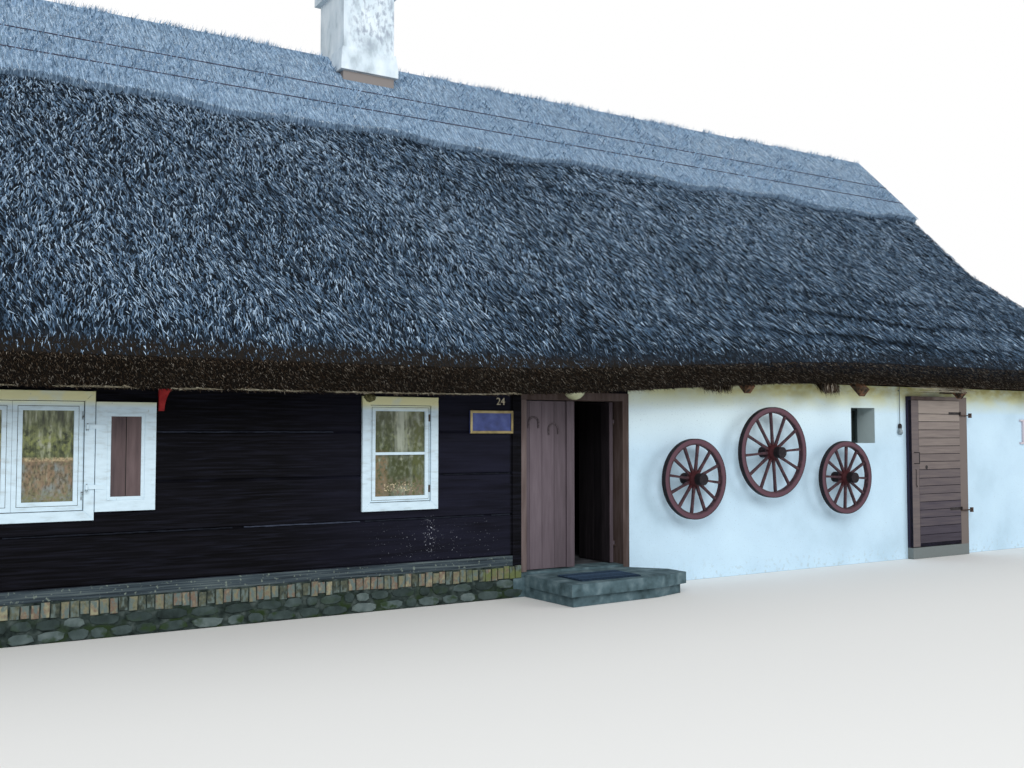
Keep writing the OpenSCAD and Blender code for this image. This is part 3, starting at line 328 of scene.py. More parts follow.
weathered_reed = reed("weathered_reed", [
    (0.0, "#05080c"), (0.25, "#18242f"), (0.5, "#3d536b"), (0.75, "#647f9a"), (1.0, "#a9c0d6"),
])
for side, node, count in (
    ("front", "thatch_front", 195000), ("back", "thatch_back", 95000),
    ("left", "end_skirts", 30000), ("right", "end_skirts", 45000),
):
    fall, out = slopes[side]
    at = scatter(node, out, count)
    rise, light = courses(at, fall)
    spread = 0.38 - 0.10 * ramp(at[:, 0], -6.0, 3.0)
    height = np.clip((at[:, 2] - 3.6) / 2.0, -0.5, 0.5)
    grey = 0.54 + 0.06 * ramp(at[:, 0], -2.0, 2.0) + 0.07 * ripple(at, 0.5, 8) + 0.16 * height
    tone = (grey + spread * rng.normal(size=len(at))) * light
    reach = 0.11 * np.clip((above_edge(at) - 0.05) / 0.45, 0.45, 1.0)[:, None]
    blades("reed_" + side, at + np.outer(rise, out), fall, out, tone, weathered_reed,
           length=reach, width=0.0115, lift=0.19)

# Cut eave and verges: the butts of the lowest courses, dressed to an even face, brown in the
# shade. A short fringe and some pale straws hang on the lower edge. Over the byre wall tufts
# have come loose, and one bundle of long pale straws lies along the underside.
eave_reed = reed("eave_reed", [
    (0.0, "#0f0b08"), (0.5, "#3b2e22"), (0.8, "#5a4e40"), (1.0, "#a39d92"),
])
pale_straw = reed("pale_straw", [(0.0, "#4d463a"), (0.5, "#8c8470"), (1.0, "#cfc9b6")])
for side, node, count in (
    ("front", "thatch_front", 50000), ("back", "thatch_back", 22000),
    ("left", "end_skirts", 10000), ("right", "end_skirts", 14000),
):
    fall, out = slopes[side]
    at = scatter(node, fall, count)
    blades("eave_" + side, at, fall, out, rng.random(len(at)) ** 1.1, eave_reed,
           length=0.07, width=0.012, lift=0.35)
    at = scatter(node, out, 8 * count)
    at = at[above_edge(at) < 0.38 + 0.10 * rng.random(len(at))]
    blades("lip_" + side, at, fall, out, 0.8 * rng.random(len(at)), eave_reed,
           length=0.06, width=0.011, lift=0.3)
for side, way in (("left", (-1.0, 0.0, 0.0)), ("right", (1.0, 0.0, 0.0))):
    for slope, node in (("front", "thatch_front"), ("back", "thatch_back")):
        at = scatter(node, way, 4000)
        blades(f"verge_{side}_{slope}", at, slopes[slope][0], way, rng.random(len(at)), eave_reed,
               length=0.16, width=0.014, lift=0.4)


def on_edge(x, ahead, up):
    """Points beside the lower edge of the front slope."""
    return np.stack([x, np.interp(x, edge_x, edge_y) + ahead, np.interp(x, edge_x, edge_z) + up], axis=1)


for part, first, last, reach in (("dwelling", -9.2, 0.0, 0.012), ("byre", 0.0, 9.0, 0.035)):
    at = on_edge(rng.uniform(first, last, 5000 // thin), 0.01, 0.012)
    blades("fringe_" + part, at, (0.0, -0.3, -0.95), (0.0, -0.95, 0.3),
           rng.random(len(at)) ** 0.8, eave_reed, length=reach, width=0.009, lift=0.5)
x = rng.uniform(-9.0, -1.9, 2200)
at = on_edge(x[ripple(np.stack([x, x, x], axis=1), 0.6, 21) > 0.0], -0.018, 0.004)
blades("edge_straws", at, (1.0, 0.0, 0.0), (0.0, -0.3, -0.95),
       0.3 + 0.6 * rng.random(len(at)), pale_straw, length=0.12, width=0.008, lift=0.01)
wall_head_y, underside = (-3.62, -3.50), 5.945
tufts = []
for x0, x1, foot in ((-0.62, -0.26, 2.095), (0.50, 0.92, 2.095), (2.46, 2.76, 2.115)):
    count = int((x1 - x0) * 2400)
    x = rng.uniform(x0, x1, count)
    y = rng.uniform(*wall_head_y, count)
    z = (foot + underside + y) / 2 + rng.uniform(0.0, 0.06, count)
    tufts.append(np.stack([x, y, z], axis=1))
tufts = np.concatenate(tufts)
blades("hanging_tufts", tufts, (0.0, 0.0, -1.0), (0.0, -1.0, 0.0),
       rng.random(len(tufts)) ** 1.2, eave_reed, length=0.13, width=0.012, lift=0.5)
straws = 60
x = rng.uniform(4.45, 5.35, straws)
y = rng.uniform(-3.70, -3.62, straws)
blades("loose_bundle", np.stack([x, y, y + underside], axis=1), (1.0, 0.0, 0.0), (0.0, 0.0, -1.0),
       rng.random(straws), pale_straw, length=0.45, width=0.012, lift=0.02)

# Ridge cap: younger and lighter reed bent over the ridge, with a loose fringe on its crest and
# tufts along its ragged lower edge, under which short dark reed ends paint its shade. On each
# slope two dull dark wires hold it down.
dress(coat("cap_bed", 0.95, (60.0, 8.0, 8.0),
           [(0.30, "#4a5d70"), (0.52, "#7b95af"), (0.70, "#abc4dc")], 0.015, gloss=0.1), "ridge_cap")
ridge_reed = reed("ridge_reed", [
    (0.0, "#42586d"), (0.25, "#809cb7"), (0.5, "#aac5de"), (0.75, "#cbe0f2"), (1.0, "#eef7fd"),
])
for side, count in (("front", 150000), ("back", 60000)):
    fall, out = slopes[side]
    at = scatter("ridge_cap", out, count)
    at = at[np.abs(at[:, 1]) > 0.05 + 0.05 * rng.random(len(at))]
    up = (at[:, 2] - 5.3) / 1.3
    tone = 0.36 + 0.22 * up + 0.42 * rng.normal(size=len(at)) + 0.08 * ripple(at, 0.4, 9)
    tone += 0.08 * np.clip(at[:, 0] / 4.0, -1.0, 1.0)
    blades("cap_reed_" + side, at, fall, out, tone, ridge_reed,
           length=0.15, width=0.011, lift=0.10)
    # Painted shade: short reed ends in the darkest tones line the cap's lower face as its shadow.
    at = scatter("ridge_cap", fall, 9000)
    blades("cap_edge_painted_shade_" + side, at, fall, out, rng.random(len(at)) ** 3, weathered_reed,
           length=0.07, width=0.014, lift=0.2)
    at = scatter("ridge_cap", fall, 16000)
    at = at[ripple(at, 1.3, 17) + 0.6 * ripple(at, 3.1, 18) > 0.3 * rng.normal(size=len(at))]
    blades("cap_tufts_" + side, at + 0.02 * np.array(out), fall, out,
           0.05 + 0.5 * rng.random(len(at)), ridge_reed, length=0.24, width=0.012, lift=0.12)
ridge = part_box("ridge_cap")
x = rng.uniform(ridge[0][0] + 0.05, ridge[1][0] - 0.05, 9000 // thin)
x = x[ripple(np.stack([x, x, x], axis=1), 1.4, 23) > 0.6 * rng.normal(size=len(x))]
at = np.stack([x, rng.uniform(-0.06, 0.06, len(x)), np.full(len(x), ridge[1][2] - 0.02)], axis=1)
stack_x, stack_half = -2.28, 0.48
at = at[np.abs(at[:, 0] - stack_x) > stack_half]
blades("ridge_fringe", at, (0.2, 0.0, 1.0), (0.0, -1.0, 0.0),
       0.5 * rng.random(len(at)), ridge_reed, length=0.13, width=0.012, lift=0.4)
dress(coat("dull_wire", 0.7, (30.0, 30.0, 30.0),
           [(0.4, "#2f3145"), (0.6, "#4c4d60")], 0.0005, metallic=0.3), "ridge_wires")

# Chimney: a stack of brick under many coats of limewash, with a flared drip course over the
# ridge and a projecting cap. Soot marks its middle, it is greyer under the roof, and the flue is
# black inside.
limewash = coat("chimney_limewash", 0.9, (6.0, 6.0, 3.0),
                [(0.30, "#aab8c1"), (0.45, "#cfdde6"), (0.65, "#e0ebf2")], 0.015, gloss=0.2)
stain(limewash, "#9faab8", ((22.0, 22.0, 12.0), 0.47, 0.66), z=[(6.5, 6.8), (7.42, 7.3)],
      x=[(-2.62, -2.45)])
stain(limewash, "#857f7c", z=[(6.32, 6.30)])
stain(limewash, "#141414", x=[(-2.432, -2.428), (-2.128, -2.132)],
      y=[(-0.152, -0.148), (0.152, 0.148)])
dress(limewash, "chimney_shaft", "chimney_courses")

# Roof timber: hewn and sawn softwood, dark with age and smoke. The tails that show under the
# front eave are weathered to a warmer brown. Grain is a few mm wide and is drawn 25 mm wide,
# because finer grain doesn't show.
roof_timber = coat("roof_timber", 0.85, (3.0, 3.0, 40.0),
                   [(0.3, "#15120f"), (0.5, "#2b2620"), (0.7, "#4d453b")], 0.004, gloss=0.15)
stain(roof_timber, "#6a4d3a", ((20.0, 20.0, 20.0), 0.42, 0.6), y=[(-3.30, -3.40)])
dress(roof_timber, "rafters", "battens", "joists", "roof_plates", "gable_boards", "loft_floor")


def plane(angle, x, y):
    """Place of an upright face, seen from outside: its foot at x and y, turned about the vertical."""
    return Matrix.Translation((x, y, 0.0)) @ Matrix.Rotation(math.radians(angle), 4, "Z")


def board(u0, z0, u1, z1):
    """Outline of a board from its low left corner to its high right one."""
    return [(u0, z0), (u1, z0), (u1, z1), (u0, z1)]


def slabs(name, items, place, chamfer, material, body):
    """Flat pieces with eased edges on a face, each with its outline, back, front and tone."""
    points, faces, tones = [], [], []
    for outline, back, front, tone in items:
        ring = np.array(outline, float)
        ahead = np.roll(ring, -1, axis=0) - ring
        ahead /= np.linalg.norm(ahead, axis=1, keepdims=True)
        behind = np.roll(ahead, 1, axis=0)
        inward = np.stack([-ahead[:, 1] - behind[:, 1], ahead[:, 0] + behind[:, 0]], axis=1)
        inner = ring + inward * 2 * chamfer / (inward * inward).sum(axis=1, keepdims=True)
        first, n = len(points), len(ring)
        for loop, depth in ((ring, back), (ring, front - chamfer), (inner, front)):
            points += [(u, -depth, v) for u, v in loop]
        faces.append(list(range(first + n - 1, first - 1, -1)))
        for base in (first, first + n):
            for i in range(n):
                j = (i + 1) % n
                faces.append((base + i, base + j, base + n + j, base + n + i))
        faces.append(list(range(first + 2 * n, first + 3 * n)))
        tones += [tone] * (3 * n)
    points = [place @ Vector(point) for point in points]
    return piece(name, points, faces, material, body, tones)


# Gable boards: upright softwood boards, nailed side by side to close the two gablets. They are
# bare and weathered to a dull grey, each in a tone of its own.
grey_boards = coat("grey_gable_boards", 0.85, (3.0, 30.0, 2.0),
                   [(0.25, "#2b2f33"), (0.5, "#4c5359"), (0.75, "#737b81")], 0.003, own=0.5, gloss=0.2)
apex_z, gable_z, board_w, crack = 5.90, 3.58, 0.19, 0.003
for side, angle, x in (("left", -90, -7.308), ("right", 90, 7.308)):
    items = []
    for i in range(-12, 12):
        u0, u1 = i * board_w + crack, (i + 1) * board_w - crack
        outline = [(u0, gable_z), (u1, gable_z), (u1, apex_z - abs(u1)), (u0, apex_z - abs(u0))]
        items.append((outline, 0.0, 0.006 + 0.006 * rng.random(), rng.random()))
    slabs("gable_skin_" + side, items, plane(angle, x, 0.0), 0.002, grey_boards, "house")

# Log walls: hewn softwood logs, flat on both faces, brown inside and black with coats of tar
# outside, with pale splashes low beside the door. Their joints are packed with moss and clay
# that has crumbled in places.
tar = coat("tarred_logs", 0.7, (1.4, 1.4, 55.0),
           [(0.28, "#020203"), (0.52, "#08080d"), (0.74, "#14141b")], 0.004, gloss=0.06)
stain(tar, "#14151e", ((3.0, 3.0, 60.0), 0.5, 0.7))
stain(tar, "#1b1c2a", ((1.2, 1.2, 16.0), 0.15, 0.75), x=[(-4.4, -3.0), (-1.89, -1.91)],
      y=[(-3.0, -3.1)])
stain(tar, "#a9adb8", ((90.0, 90.0, 60.0), 0.60, 0.66), x=[(-2.91, -2.86), (-2.77, -2.82)],
      z=[(0.52, 0.60), (0.90, 0.84)])
stain(tar, "#8d919c", ((70.0, 70.0, 70.0), 0.69, 0.73), x=[(-3.6, -3.4), (-2.0, -2.2)],
      z=[(0.42, 0.46), (0.9, 0.7)])
stain(tar, "#4a3b2d", x=[(-8.33, -8.325)], y=[(-3.08, -3.075), (3.08, 3.075)])
dress(tar, "front_log_wall", "back_log_wall", "left_log_wall", "top_logs", "corner_posts")
packing = coat("moss_and_clay", 0.95, (30.0, 30.0, 90.0),
               [(0.2, "#101218"), (0.5, "#20242e"), (0.8, "#383e4c")], 0.003, own=0.5, gloss=0.1)
wall_x, wall_y = 8.5, 3.25
faces_of = {
    "front": plane(0, 0.0, -wall_y), "back": plane(180, 0.0, wall_y), "left": plane(-90, -wall_x, 0.0),
}
window_foot, window_head = 0.95, 2.06
window_gaps = {
    "front": ((-7.27, -6.0), (-3.58, -2.76)),
    "back": ((2.76, 3.58), (6.22, 7.05)),
    "left": ((-0.41, 0.41),),
}
log_joints, end_joints = (0.435, 0.865, 1.294, 1.724, 2.154), (0.435, 0.65, 1.08, 1.51, 1.94, 2.154)
for side, first, last, joints in (
    ("front", -8.45, -1.90, log_joints), ("back", 0.40, 8.45, log_joints), ("left", -3.1, 3.1, end_joints),
):
    items = []
    for z in joints:
        u = first
        while u < last:
            end = min(u + rng.uniform(0.4, 2.0), last)
            clear = all(end < a or u > b for a, b in window_gaps[side])
            if rng.random() < 0.85 and (clear or z < window_foot or z > window_head):
                along = np.linspace(u, end, max(2, int((end - u) / 0.05)))
                half = 0.0025 + 0.0055 * rng.random(len(along))
                outline = [(a, z - h) for a, h in zip(along, half)]
                outline += [(a, z + h) for a, h in zip(along[::-1], half)]
                items.append((outline, -0.012, 0.001, rng.random()))
            u = end + rng.uniform(0.01, 0.12)
    slabs("joint_packing_" + side, items, faces_of[side], 0.0005, packing, "house")

# Sill beam: bare hewn softwood that lies on the plinth and carries the logs. It is weathered to
# a rough grey and spotted with lichen.
sill_wood = coat("bare_sill_wood", 0.9, (1.5, 1.5, 60.0),
                 [(0.28, "#161d23"), (0.5, "#39444b"), (0.72, "#606b6b")], 0.006, gloss=0.15)
stain(sill_wood, "#6f7a72", ((30.0, 30.0, 30.0), 0.60, 0.68))
dress(sill_wood, "sill_beams")

# Plinth: field stones in lime mortar, with a course of bricks on edge under the sill beam. The
# bricks are 65 mm thick with joints of 10 mm, and all of it is damp, grey and green at the foot.
mortar = coat("lime_mortar", 0.95, (14.0, 14.0, 14.0),
              [(0.3, "#141c1b"), (0.5, "#2c3634"), (0.7, "#4a5452")], 0.012, gloss=0.1)
stain(mortar, "#27351f", ((5.0, 5.0, 8.0), 0.5, 0.65), z=[(0.25, 0.10)])
dress(mortar, "plinth")
old_brick = coat("old_brick", 0.9, (25.0, 25.0, 25.0),
                 [(0.22, "#333a35"), (0.38, "#565a4c"), (0.50, "#75745f"), (0.62, "#6b5a50"),
                  (0.78, "#8c8a72")], 0.006, own=0.5, gloss=0.12)
stain(old_brick, "#5d6a67", ((30.0, 30.0, 14.0), 0.46, 0.60))
stain(old_brick, "#5f6843", ((9.0, 9.0, 9.0), 0.45, 0.6), x=[(-2.6, -2.2)])
field_stone = coat("field_stone", 0.9, (12.0, 12.0, 12.0),
                   [(0.15, "#1c2524"), (0.4, "#34403f"), (0.65, "#4c5959"), (0.9, "#6f7b7a")],
                   0.012, own=0.5, gloss=0.15)
stain(field_stone, "#2a3a24", ((7.0, 7.0, 10.0), 0.5, 0.62), z=[(0.22, 0.05)])
proud, brick_t, least_stone = 0.024, 0.065, 0.12
corner_turns = np.arange(8) * math.pi / 4 + math.pi / 8
for side, first, last in (("front", -8.50, -1.76), ("back", 0.36, 8.50), ("left", -3.24, 3.24)):
    items = []
    u = first
    while u + brick_t < last:
        wide = rng.uniform(0.058, 0.07)
        low, high = 0.205 + rng.uniform(-0.014, 0.016), 0.330 + rng.uniform(-0.016, 0.003)
        lean = rng.uniform(-0.005, 0.005)
        outline = [(u, low), (u + wide, low), (u + wide + lean, high), (u + lean, high)]
        items.append((outline, 0.0, proud + 0.012 + rng.uniform(-0.005, 0.006), rng.random()))
        u += wide + rng.uniform(0.008, 0.014)
    slabs("brick_course_" + side, items, faces_of[side], 0.004, old_brick, "house")
    items = []
    for row_z, row_h in ((0.002, 0.095), (0.104, 0.092)):
        u = first + rng.uniform(0.0, 0.05)
        while u + least_stone < last:
            wide = min(rng.uniform(0.11, 0.30), last - u)
            bulge = rng.uniform(0.78, 1.0, len(corner_turns))
            across = 1 + 1.05 * bulge * np.clip(1.25 * np.cos(corner_turns), -0.95, 0.95)
            up = 1 + bulge * np.clip(1.25 * np.sin(corner_turns), -0.96, 0.96)
            outline = list(zip(u + wide / 2 * across, row_z + row_h / 2 * up))
            items.append((outline, 0.0, proud + rng.uniform(0.006, 0.02), rng.random()))
            u += wide + rng.uniform(0.008, 0.02)
    slabs("field_stones_" + side, items, faces_of[side], 0.007, field_stone, "house")

# Whitewashed walls of the byre: lime over rough masonry, bluish in the open, yellow-green with
# damp under the eave, splashed at the foot. Painted light makes the upper wall lighter, most at
# the left, and painted shade makes the reveals of its openings greyer. The end of one beam shows
# under the eave.
whitewash = coat("byre_whitewash", 0.9, (1.6, 1.6, 1.6),
                 [(0.25, "#b3cddd"), (0.48, "#bfd9ea"), (0.75, "#c6e0f0")], 0.04, gloss=0.15)
# Painted light: the upper wall is lighter, most towards the left.
stain(whitewash, "#d8ecf3", x=[(5.5, 1.5)], z=[(1.50, 1.92)])
stain(whitewash, "#cfd2a8", ((2.5, 2.5, 5.0), 0.05, 0.55), z=[(1.97, 2.20)])
stain(whitewash, "#b3ac74", ((7.0, 7.0, 14.0), 0.30, 0.62), z=[(2.15, 2.30)])
stain(whitewash, "#b2c6d0", ((16.0, 16.0, 16.0), 0.55, 0.68), z=[(0.25, 0.05)])
stain(whitewash, "#aabfcd", ((60.0, 60.0, 60.0), 0.62, 0.70))
# Painted shade: the reveals and inner faces of the walls are greyer.
stain(whitewash, "#a7b6b8", y=[(-3.247, -3.24), (3.247, 3.24)], x=[(8.498, 8.49)])
dress(whitewash, "byre_front_wall", "byre_door_lintel", "byre_back_wall", "byre_end_wall")
slabs("beam_end", [(board(5.20, 2.262, 5.43, 2.365), -0.05, 0.06, 0.3)], faces_of["front"], 0.008,
      roof_timber, "house")

# Stone and floors: sandstone thresholds and step, cut by hand and worn smooth, and dull grey
# floors of flags on packed earth.
worn_stone = coat("worn_sandstone", 0.85, (7.0, 7.0, 7.0),
                  [(0.28, "#2c3c40"), (0.5, "#4b6067"), (0.72, "#6e8187")], 0.01, gloss=0.2)
stain(worn_stone, "#6f7676", x=[(4.2, 4.3)])
dress(worn_stone, "door_step", "thresholds")
dress(coat("floor_flags", 0.85, (3.5, 3.5, 3.5),
           [(0.3, "#2a2b2e"), (0.5, "#3f4145"), (0.7, "#54575b")], 0.005, gloss=0.2), "floors")

# Windows: softwood casements and linings in half glossy white oil paint; in the byre's deep niche
# they are painted dark as shade. Mitred trim boards cover the joint to the logs and stop 6 mm
# short of the casements, over a rebate painted dark as shade. Each pane has a bead with a thin
# line of painted shade round it, and two hinges of rusty iron show at the right of each window.
white_oil_paint = coat("white_oil_paint", 0.5, (9.0, 9.0, 30.0),
                       [(0.25, "#b2c3cb"), (0.45, "#c3d8e4"), (0.75, "#cde2ee")], 0.0015, gloss=0.3)
stain(white_oil_paint, "#dbdaac", ((6.0, 6.0, 6.0), 0.0, 0.45), z=[(1.93, 2.0)])
stain(white_oil_paint, "#a5b2b4", ((50.0, 50.0, 16.0), 0.68, 0.76))
# Painted shade: the lining and casement in the byre's niche are dark.
stain(white_oil_paint, "#2a3638", x=[(-0.5, -0.4)])
# Painted shade: near-black strips stand for the shade in the rebates, round the beads and in the shutter
# grooves.
gap_painted_shade = coat("gap_painted_shade", 0.9, (20.0, 20.0, 20.0),
                    [(0.3, "#10110f"), (0.7, "#2a2c29")], 0.001, gloss=0.1)
rusty_iron = coat("rusty_iron", 0.75, (60.0, 60.0, 60.0),
                  [(0.30, "#2b2523"), (0.55, "#4c3f39"), (0.75, "#6e5343")], 0.001, metallic=0.3, gloss=0.3)
dress(white_oil_paint, "casements", "window_linings")


def mitred(outer, inner, back, front):
    """Four boards that meet at mitres between two rectangles."""
    pairs = [(i, (i + 1) % 4) for i in range(4)]
    return [([outer[i], outer[j], inner[j], inner[i]], back, front, 0.5) for i, j in pairs]


trim_w, rebate_w, trim_t, bead_w, line_w = 0.088, 0.006, 0.030, 0.035, 0.0035
sash = -wall_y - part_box("casements")[0][1]
wide_window = (0.985, 1.264, 1.081, (-0.2725, 0.2725), 0.1955, 1.149, 1.902)
single_window = (0.956, 0.820, 1.113, (0.0,), 0.269, 1.097, 1.928)
windows = (
    ("front_left", "front", -6.637, wide_window), ("front_middle", "front", -3.171, single_window),
    ("back_right", "back", 6.637, single_window), ("back_middle", "back", 3.171, single_window),
    ("left_end", "left", 0.0, single_window),
)
for name, side, u, (z, wide, high, centres, half_pane, pane_foot, pane_head) in windows:
    face = faces_of[side]
    first, last = u - wide / 2, u + wide / 2
    outer, inner, opening = [
        board(first + inset, z + inset, last - inset, z + high - inset)
        for inset in (0.0, trim_w - rebate_w, trim_w)
    ]
    made = slabs("trim_" + name, mitred(outer, inner, 0.0, trim_t), face, 0.003,
                 white_oil_paint, "house")
    if name == "front_left":
        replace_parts(made, "window_trims")
    slabs("rebate_" + name, mitred(inner, opening, 0.0, 0.002), face, 0.0003,
          gap_painted_shade, "house")
    hang = last - trim_w
    hinges = [(board(hang - 0.016, z + up, hang + 0.002, z + up + 0.07), 0.012, 0.016, 0.5)
              for up in (0.17, high - 0.24)]
    slabs("hinges_" + name, hinges, face, 0.001, rusty_iron, "house")
    beads, shade_lines = [], []
    for centre in centres:
        u0, u1 = u + centre - half_pane, u + centre + half_pane
        pane, bead, line = [board(u0 - out, pane_foot - out, u1 + out, pane_head + out)
                            for out in (0.0, bead_w, bead_w + line_w)]
        beads += mitred(bead, pane, sash, sash + 0.004)
        shade_lines += mitred(line, bead, sash, sash + 0.0012)
    slabs("sash_beads_" + name, beads, face, 0.0015, white_oil_paint, "house")
    slabs("sash_lines_" + name, shade_lines, face, 0.0003, gap_painted_shade, "house")

# Panes: old drawn glass, glossy and a little wavy, with painted reflections: green, brown and grey
# in upright streaks and soft patches, 15 to 70 mm wide, browner in the foot of the left window.
# The byre's pane is painted dark for the shade of the unlit byre behind it.
# Painted reflections: the glass's colours stand for the surroundings mirrored in it.
glass_painted_reflections = coat("drawn_glass_painted_reflections", 0.12, (36.0, 36.0, 7.0),
                 [(0.30, "#2b3022"), (0.44, "#4b5339"), (0.56, "#71785a"), (0.70, "#a2a695")], 0.0015)
left_window, past_left, byre_side = (-5.9, -6.0), (-5.0, -4.9), (-0.5, -0.4)
stain(glass_painted_reflections, "#868d55", ((30.0, 30.0, 24.0), 0.42, 0.68), z=[(1.48, 1.58), (1.82, 1.68)])
stain(glass_painted_reflections, "#29311f", ((24.0, 24.0, 20.0), 0.50, 0.66), z=[(1.50, 1.55), (1.90, 1.70)])
stain(glass_painted_reflections, "#84705a", ((40.0, 40.0, 30.0), 0.20, 0.60), x=[left_window], z=[(1.51, 1.49)])
stain(glass_painted_reflections, "#798280", ((14.0, 14.0, 9.0), 0.44, 0.62), x=[left_window], z=[(1.48, 1.45)])
stain(glass_painted_reflections, "#4a4436", ((60.0, 60.0, 30.0), 0.44, 0.70), x=[left_window], z=[(1.49, 1.46)])
stain(glass_painted_reflections, "#b7a582", ((60.0, 60.0, 60.0), 0.40, 0.65), x=[left_window],
      z=[(1.475, 1.49), (1.52, 1.505)])
stain(glass_painted_reflections, "#6b6c46", ((40.0, 40.0, 60.0), 0.35, 0.65), z=[(1.26, 1.18)])
stain(glass_painted_reflections, "#8d9589", ((16.0, 16.0, 2.0), 0.40, 0.72), x=[past_left])
stain(glass_painted_reflections, "#343a26", ((20.0, 20.0, 12.0), 0.46, 0.70), x=[past_left])
stain(glass_painted_reflections, "#39421f", ((22.0, 22.0, 18.0), 0.30, 0.60), x=[past_left, (-3.20, -3.27)])
stain(glass_painted_reflections, "#9aa192", ((30.0, 30.0, 3.0), 0.35, 0.60), x=[(-3.24, -3.20), (-3.07, -3.10)],
      z=[(1.50, 1.56)])
stain(glass_painted_reflections, "#4c522b", ((22.0, 22.0, 18.0), 0.35, 0.60), x=[(-3.06, -3.02), (-2.80, -2.85)])
stain(glass_painted_reflections, "#39401f", ((20.0, 20.0, 20.0), 0.35, 0.55), x=[(-3.30, -3.24), (-3.02, -3.08)],
      z=[(1.17, 1.22), (1.52, 1.46)])
stain(glass_painted_reflections, "#75644a", ((30.0, 30.0, 30.0), 0.35, 0.60), x=[past_left, (-3.28, -3.33)],
      z=[(1.56, 1.50)])
stain(glass_painted_reflections, "#6f6150", ((40.0, 40.0, 30.0), 0.45, 0.65), x=[past_left], z=[(1.30, 1.20)])
stain(glass_painted_reflections, "#c5b795", ((50.0, 50.0, 50.0), 0.54, 0.62), x=[(-3.36, -3.32), (-3.00, -3.04)],
      z=[(1.13, 1.15), (1.24, 1.20)])
# Painted shade: the byre's pane is dark.
stain(glass_painted_reflections, "#1a211f", x=[byre_side])
dress(glass_painted_reflections, "window_glass")

# Nest: dry moss and clay, stuck as a rough brown bowl to the upper left corner of the middle
# window's trim.
nest, nest_size = Vector((-3.515, -3.272, 2.055)), Vector((0.062, 0.045, 0.043))
rings, steps = 7, 12
points, faces = [], []
for i in range(rings):
    for j in range(steps):
        up, turn = i * math.pi / 12, j * math.pi / 6
        way = Vector((math.cos(up) * math.cos(turn), -math.sin(up), math.cos(up) * math.sin(turn)))
        points.append(nest + nest_size * way * (1.0 + 0.35 * noise.noise(way * 3.0)))
        if i:
            a, b = (i - 1) * steps + j, (i - 1) * steps + (j + 1) % steps
            faces.append((a, b, b + steps, a + steps))
dry_moss = coat("dry_moss", 0.95, (90.0, 90.0, 40.0),
                [(0.3, "#2b2c1c"), (0.5, "#5b5a3c"), (0.7, "#8b8663")], 0.01, gloss=0.1)
piece("moss_nest", points, faces, dry_moss, "house")

# Shutters: framed softwood in the same white paint, standing open on their pintles. The panel is
# two boards in dull brown paint behind a white bead, with a groove between them in painted shade.
brown_panel = coat("brown_panel_paint", 0.7, (25.0, 25.0, 3.0),
                   [(0.3, "#453b3e"), (0.5, "#574a4b"), (0.7, "#665859")], 0.0015, own=0.3, gloss=0.2)
dress(white_oil_paint, "shutter_left", "shutter_right")
dress(rusty_iron, "hinge_pintles")
stain(rusty_iron, "#9fb0b8", ((30.0, 30.0, 30.0), 0.35, 0.5), x=[(-4.9, -5.0)])
low, high, panel_in, panel_out, bead_w, panel = 1.147, 1.886, 0.092, 0.398, 0.03, 0.0272
for name, x0 in (("left", -7.764), ("right", -6.0)):
    first, last, face = x0 + panel_in, x0 + panel_out, faces_of["front"]
    middle = (first + last) / 2
    boards = [(board(first, low, middle - 0.003, high), panel, 0.0300, 0.3),
              (board(middle + 0.003, low, last, high), panel, 0.0305, 0.7)]
    # Painted shade: the groove between the boards is near black.
    groove = [(board(middle - 0.006, low, middle + 0.006, high), panel, 0.0284, 0.5)]
    slabs("groove_" + name, groove, face, 0.0003, gap_painted_shade, name + "_shutter")
    slabs("panel_" + name, boards, face, 0.001, brown_panel, name + "_shutter")
    inner = board(first + bead_w, low + bead_w, last - bead_w, high - bead_w)
    beads = mitred(board(first, low, last, high), inner, panel, 0.0340)
    slabs("bead_" + name, beads, face, 0.002, white_oil_paint, name + "_shutter")

# Front door: two leaves of upright softwood boards in dull taupe oil paint, in a browner frame.
# The left leaf is shut; the right one stands open and shows its outer face in deep shade. Brush
# marks are a few mm wide and are drawn 40 mm wide, because finer ones don't show.
taupe_paint = coat("taupe_door_paint", 0.7, (25.0, 25.0, 2.5),
                   [(0.28, "#50474d"), (0.5, "#5b5158"), (0.72, "#665c63")], 0.002, own=0.3, gloss=0.2)
dress(taupe_paint, "door_leaf_left", "door_leaf_right")
brown_frame = coat("brown_frame_paint", 0.75, (22.0, 22.0, 3.0),
                   [(0.28, "#423632"), (0.5, "#564a48"), (0.72, "#675b5a")], 0.002, own=0.3, gloss=0.2)
stain(brown_frame, "#6d6460", x=[(4.9, 5.0)])
# Painted shade: the left strip of the byre door's frame, with its side face, is dark blue-grey.
stain(brown_frame, "#262437", x=[(4.2, 4.3), (4.463, 4.461)])
dress(brown_frame, "door_frames")
dark_leaf = coat("shaded_leaf_paint", 0.8, (25.0, 25.0, 2.5),
                 [(0.3, "#100e11"), (0.5, "#1b181b"), (0.7, "#2a2529")], 0.002, own=0.35, gloss=0.1)


def upright(first, step, gap, count, foot, head):
    """Upright boards side by side, each in a tone of its own."""
    edges = [(first + i * step, first + (i + 1) * step - gap) for i in range(count)]
    return [(board(u0, foot, u1, head), 0.0, 0.004, rng.random()) for u0, u1 in edges]


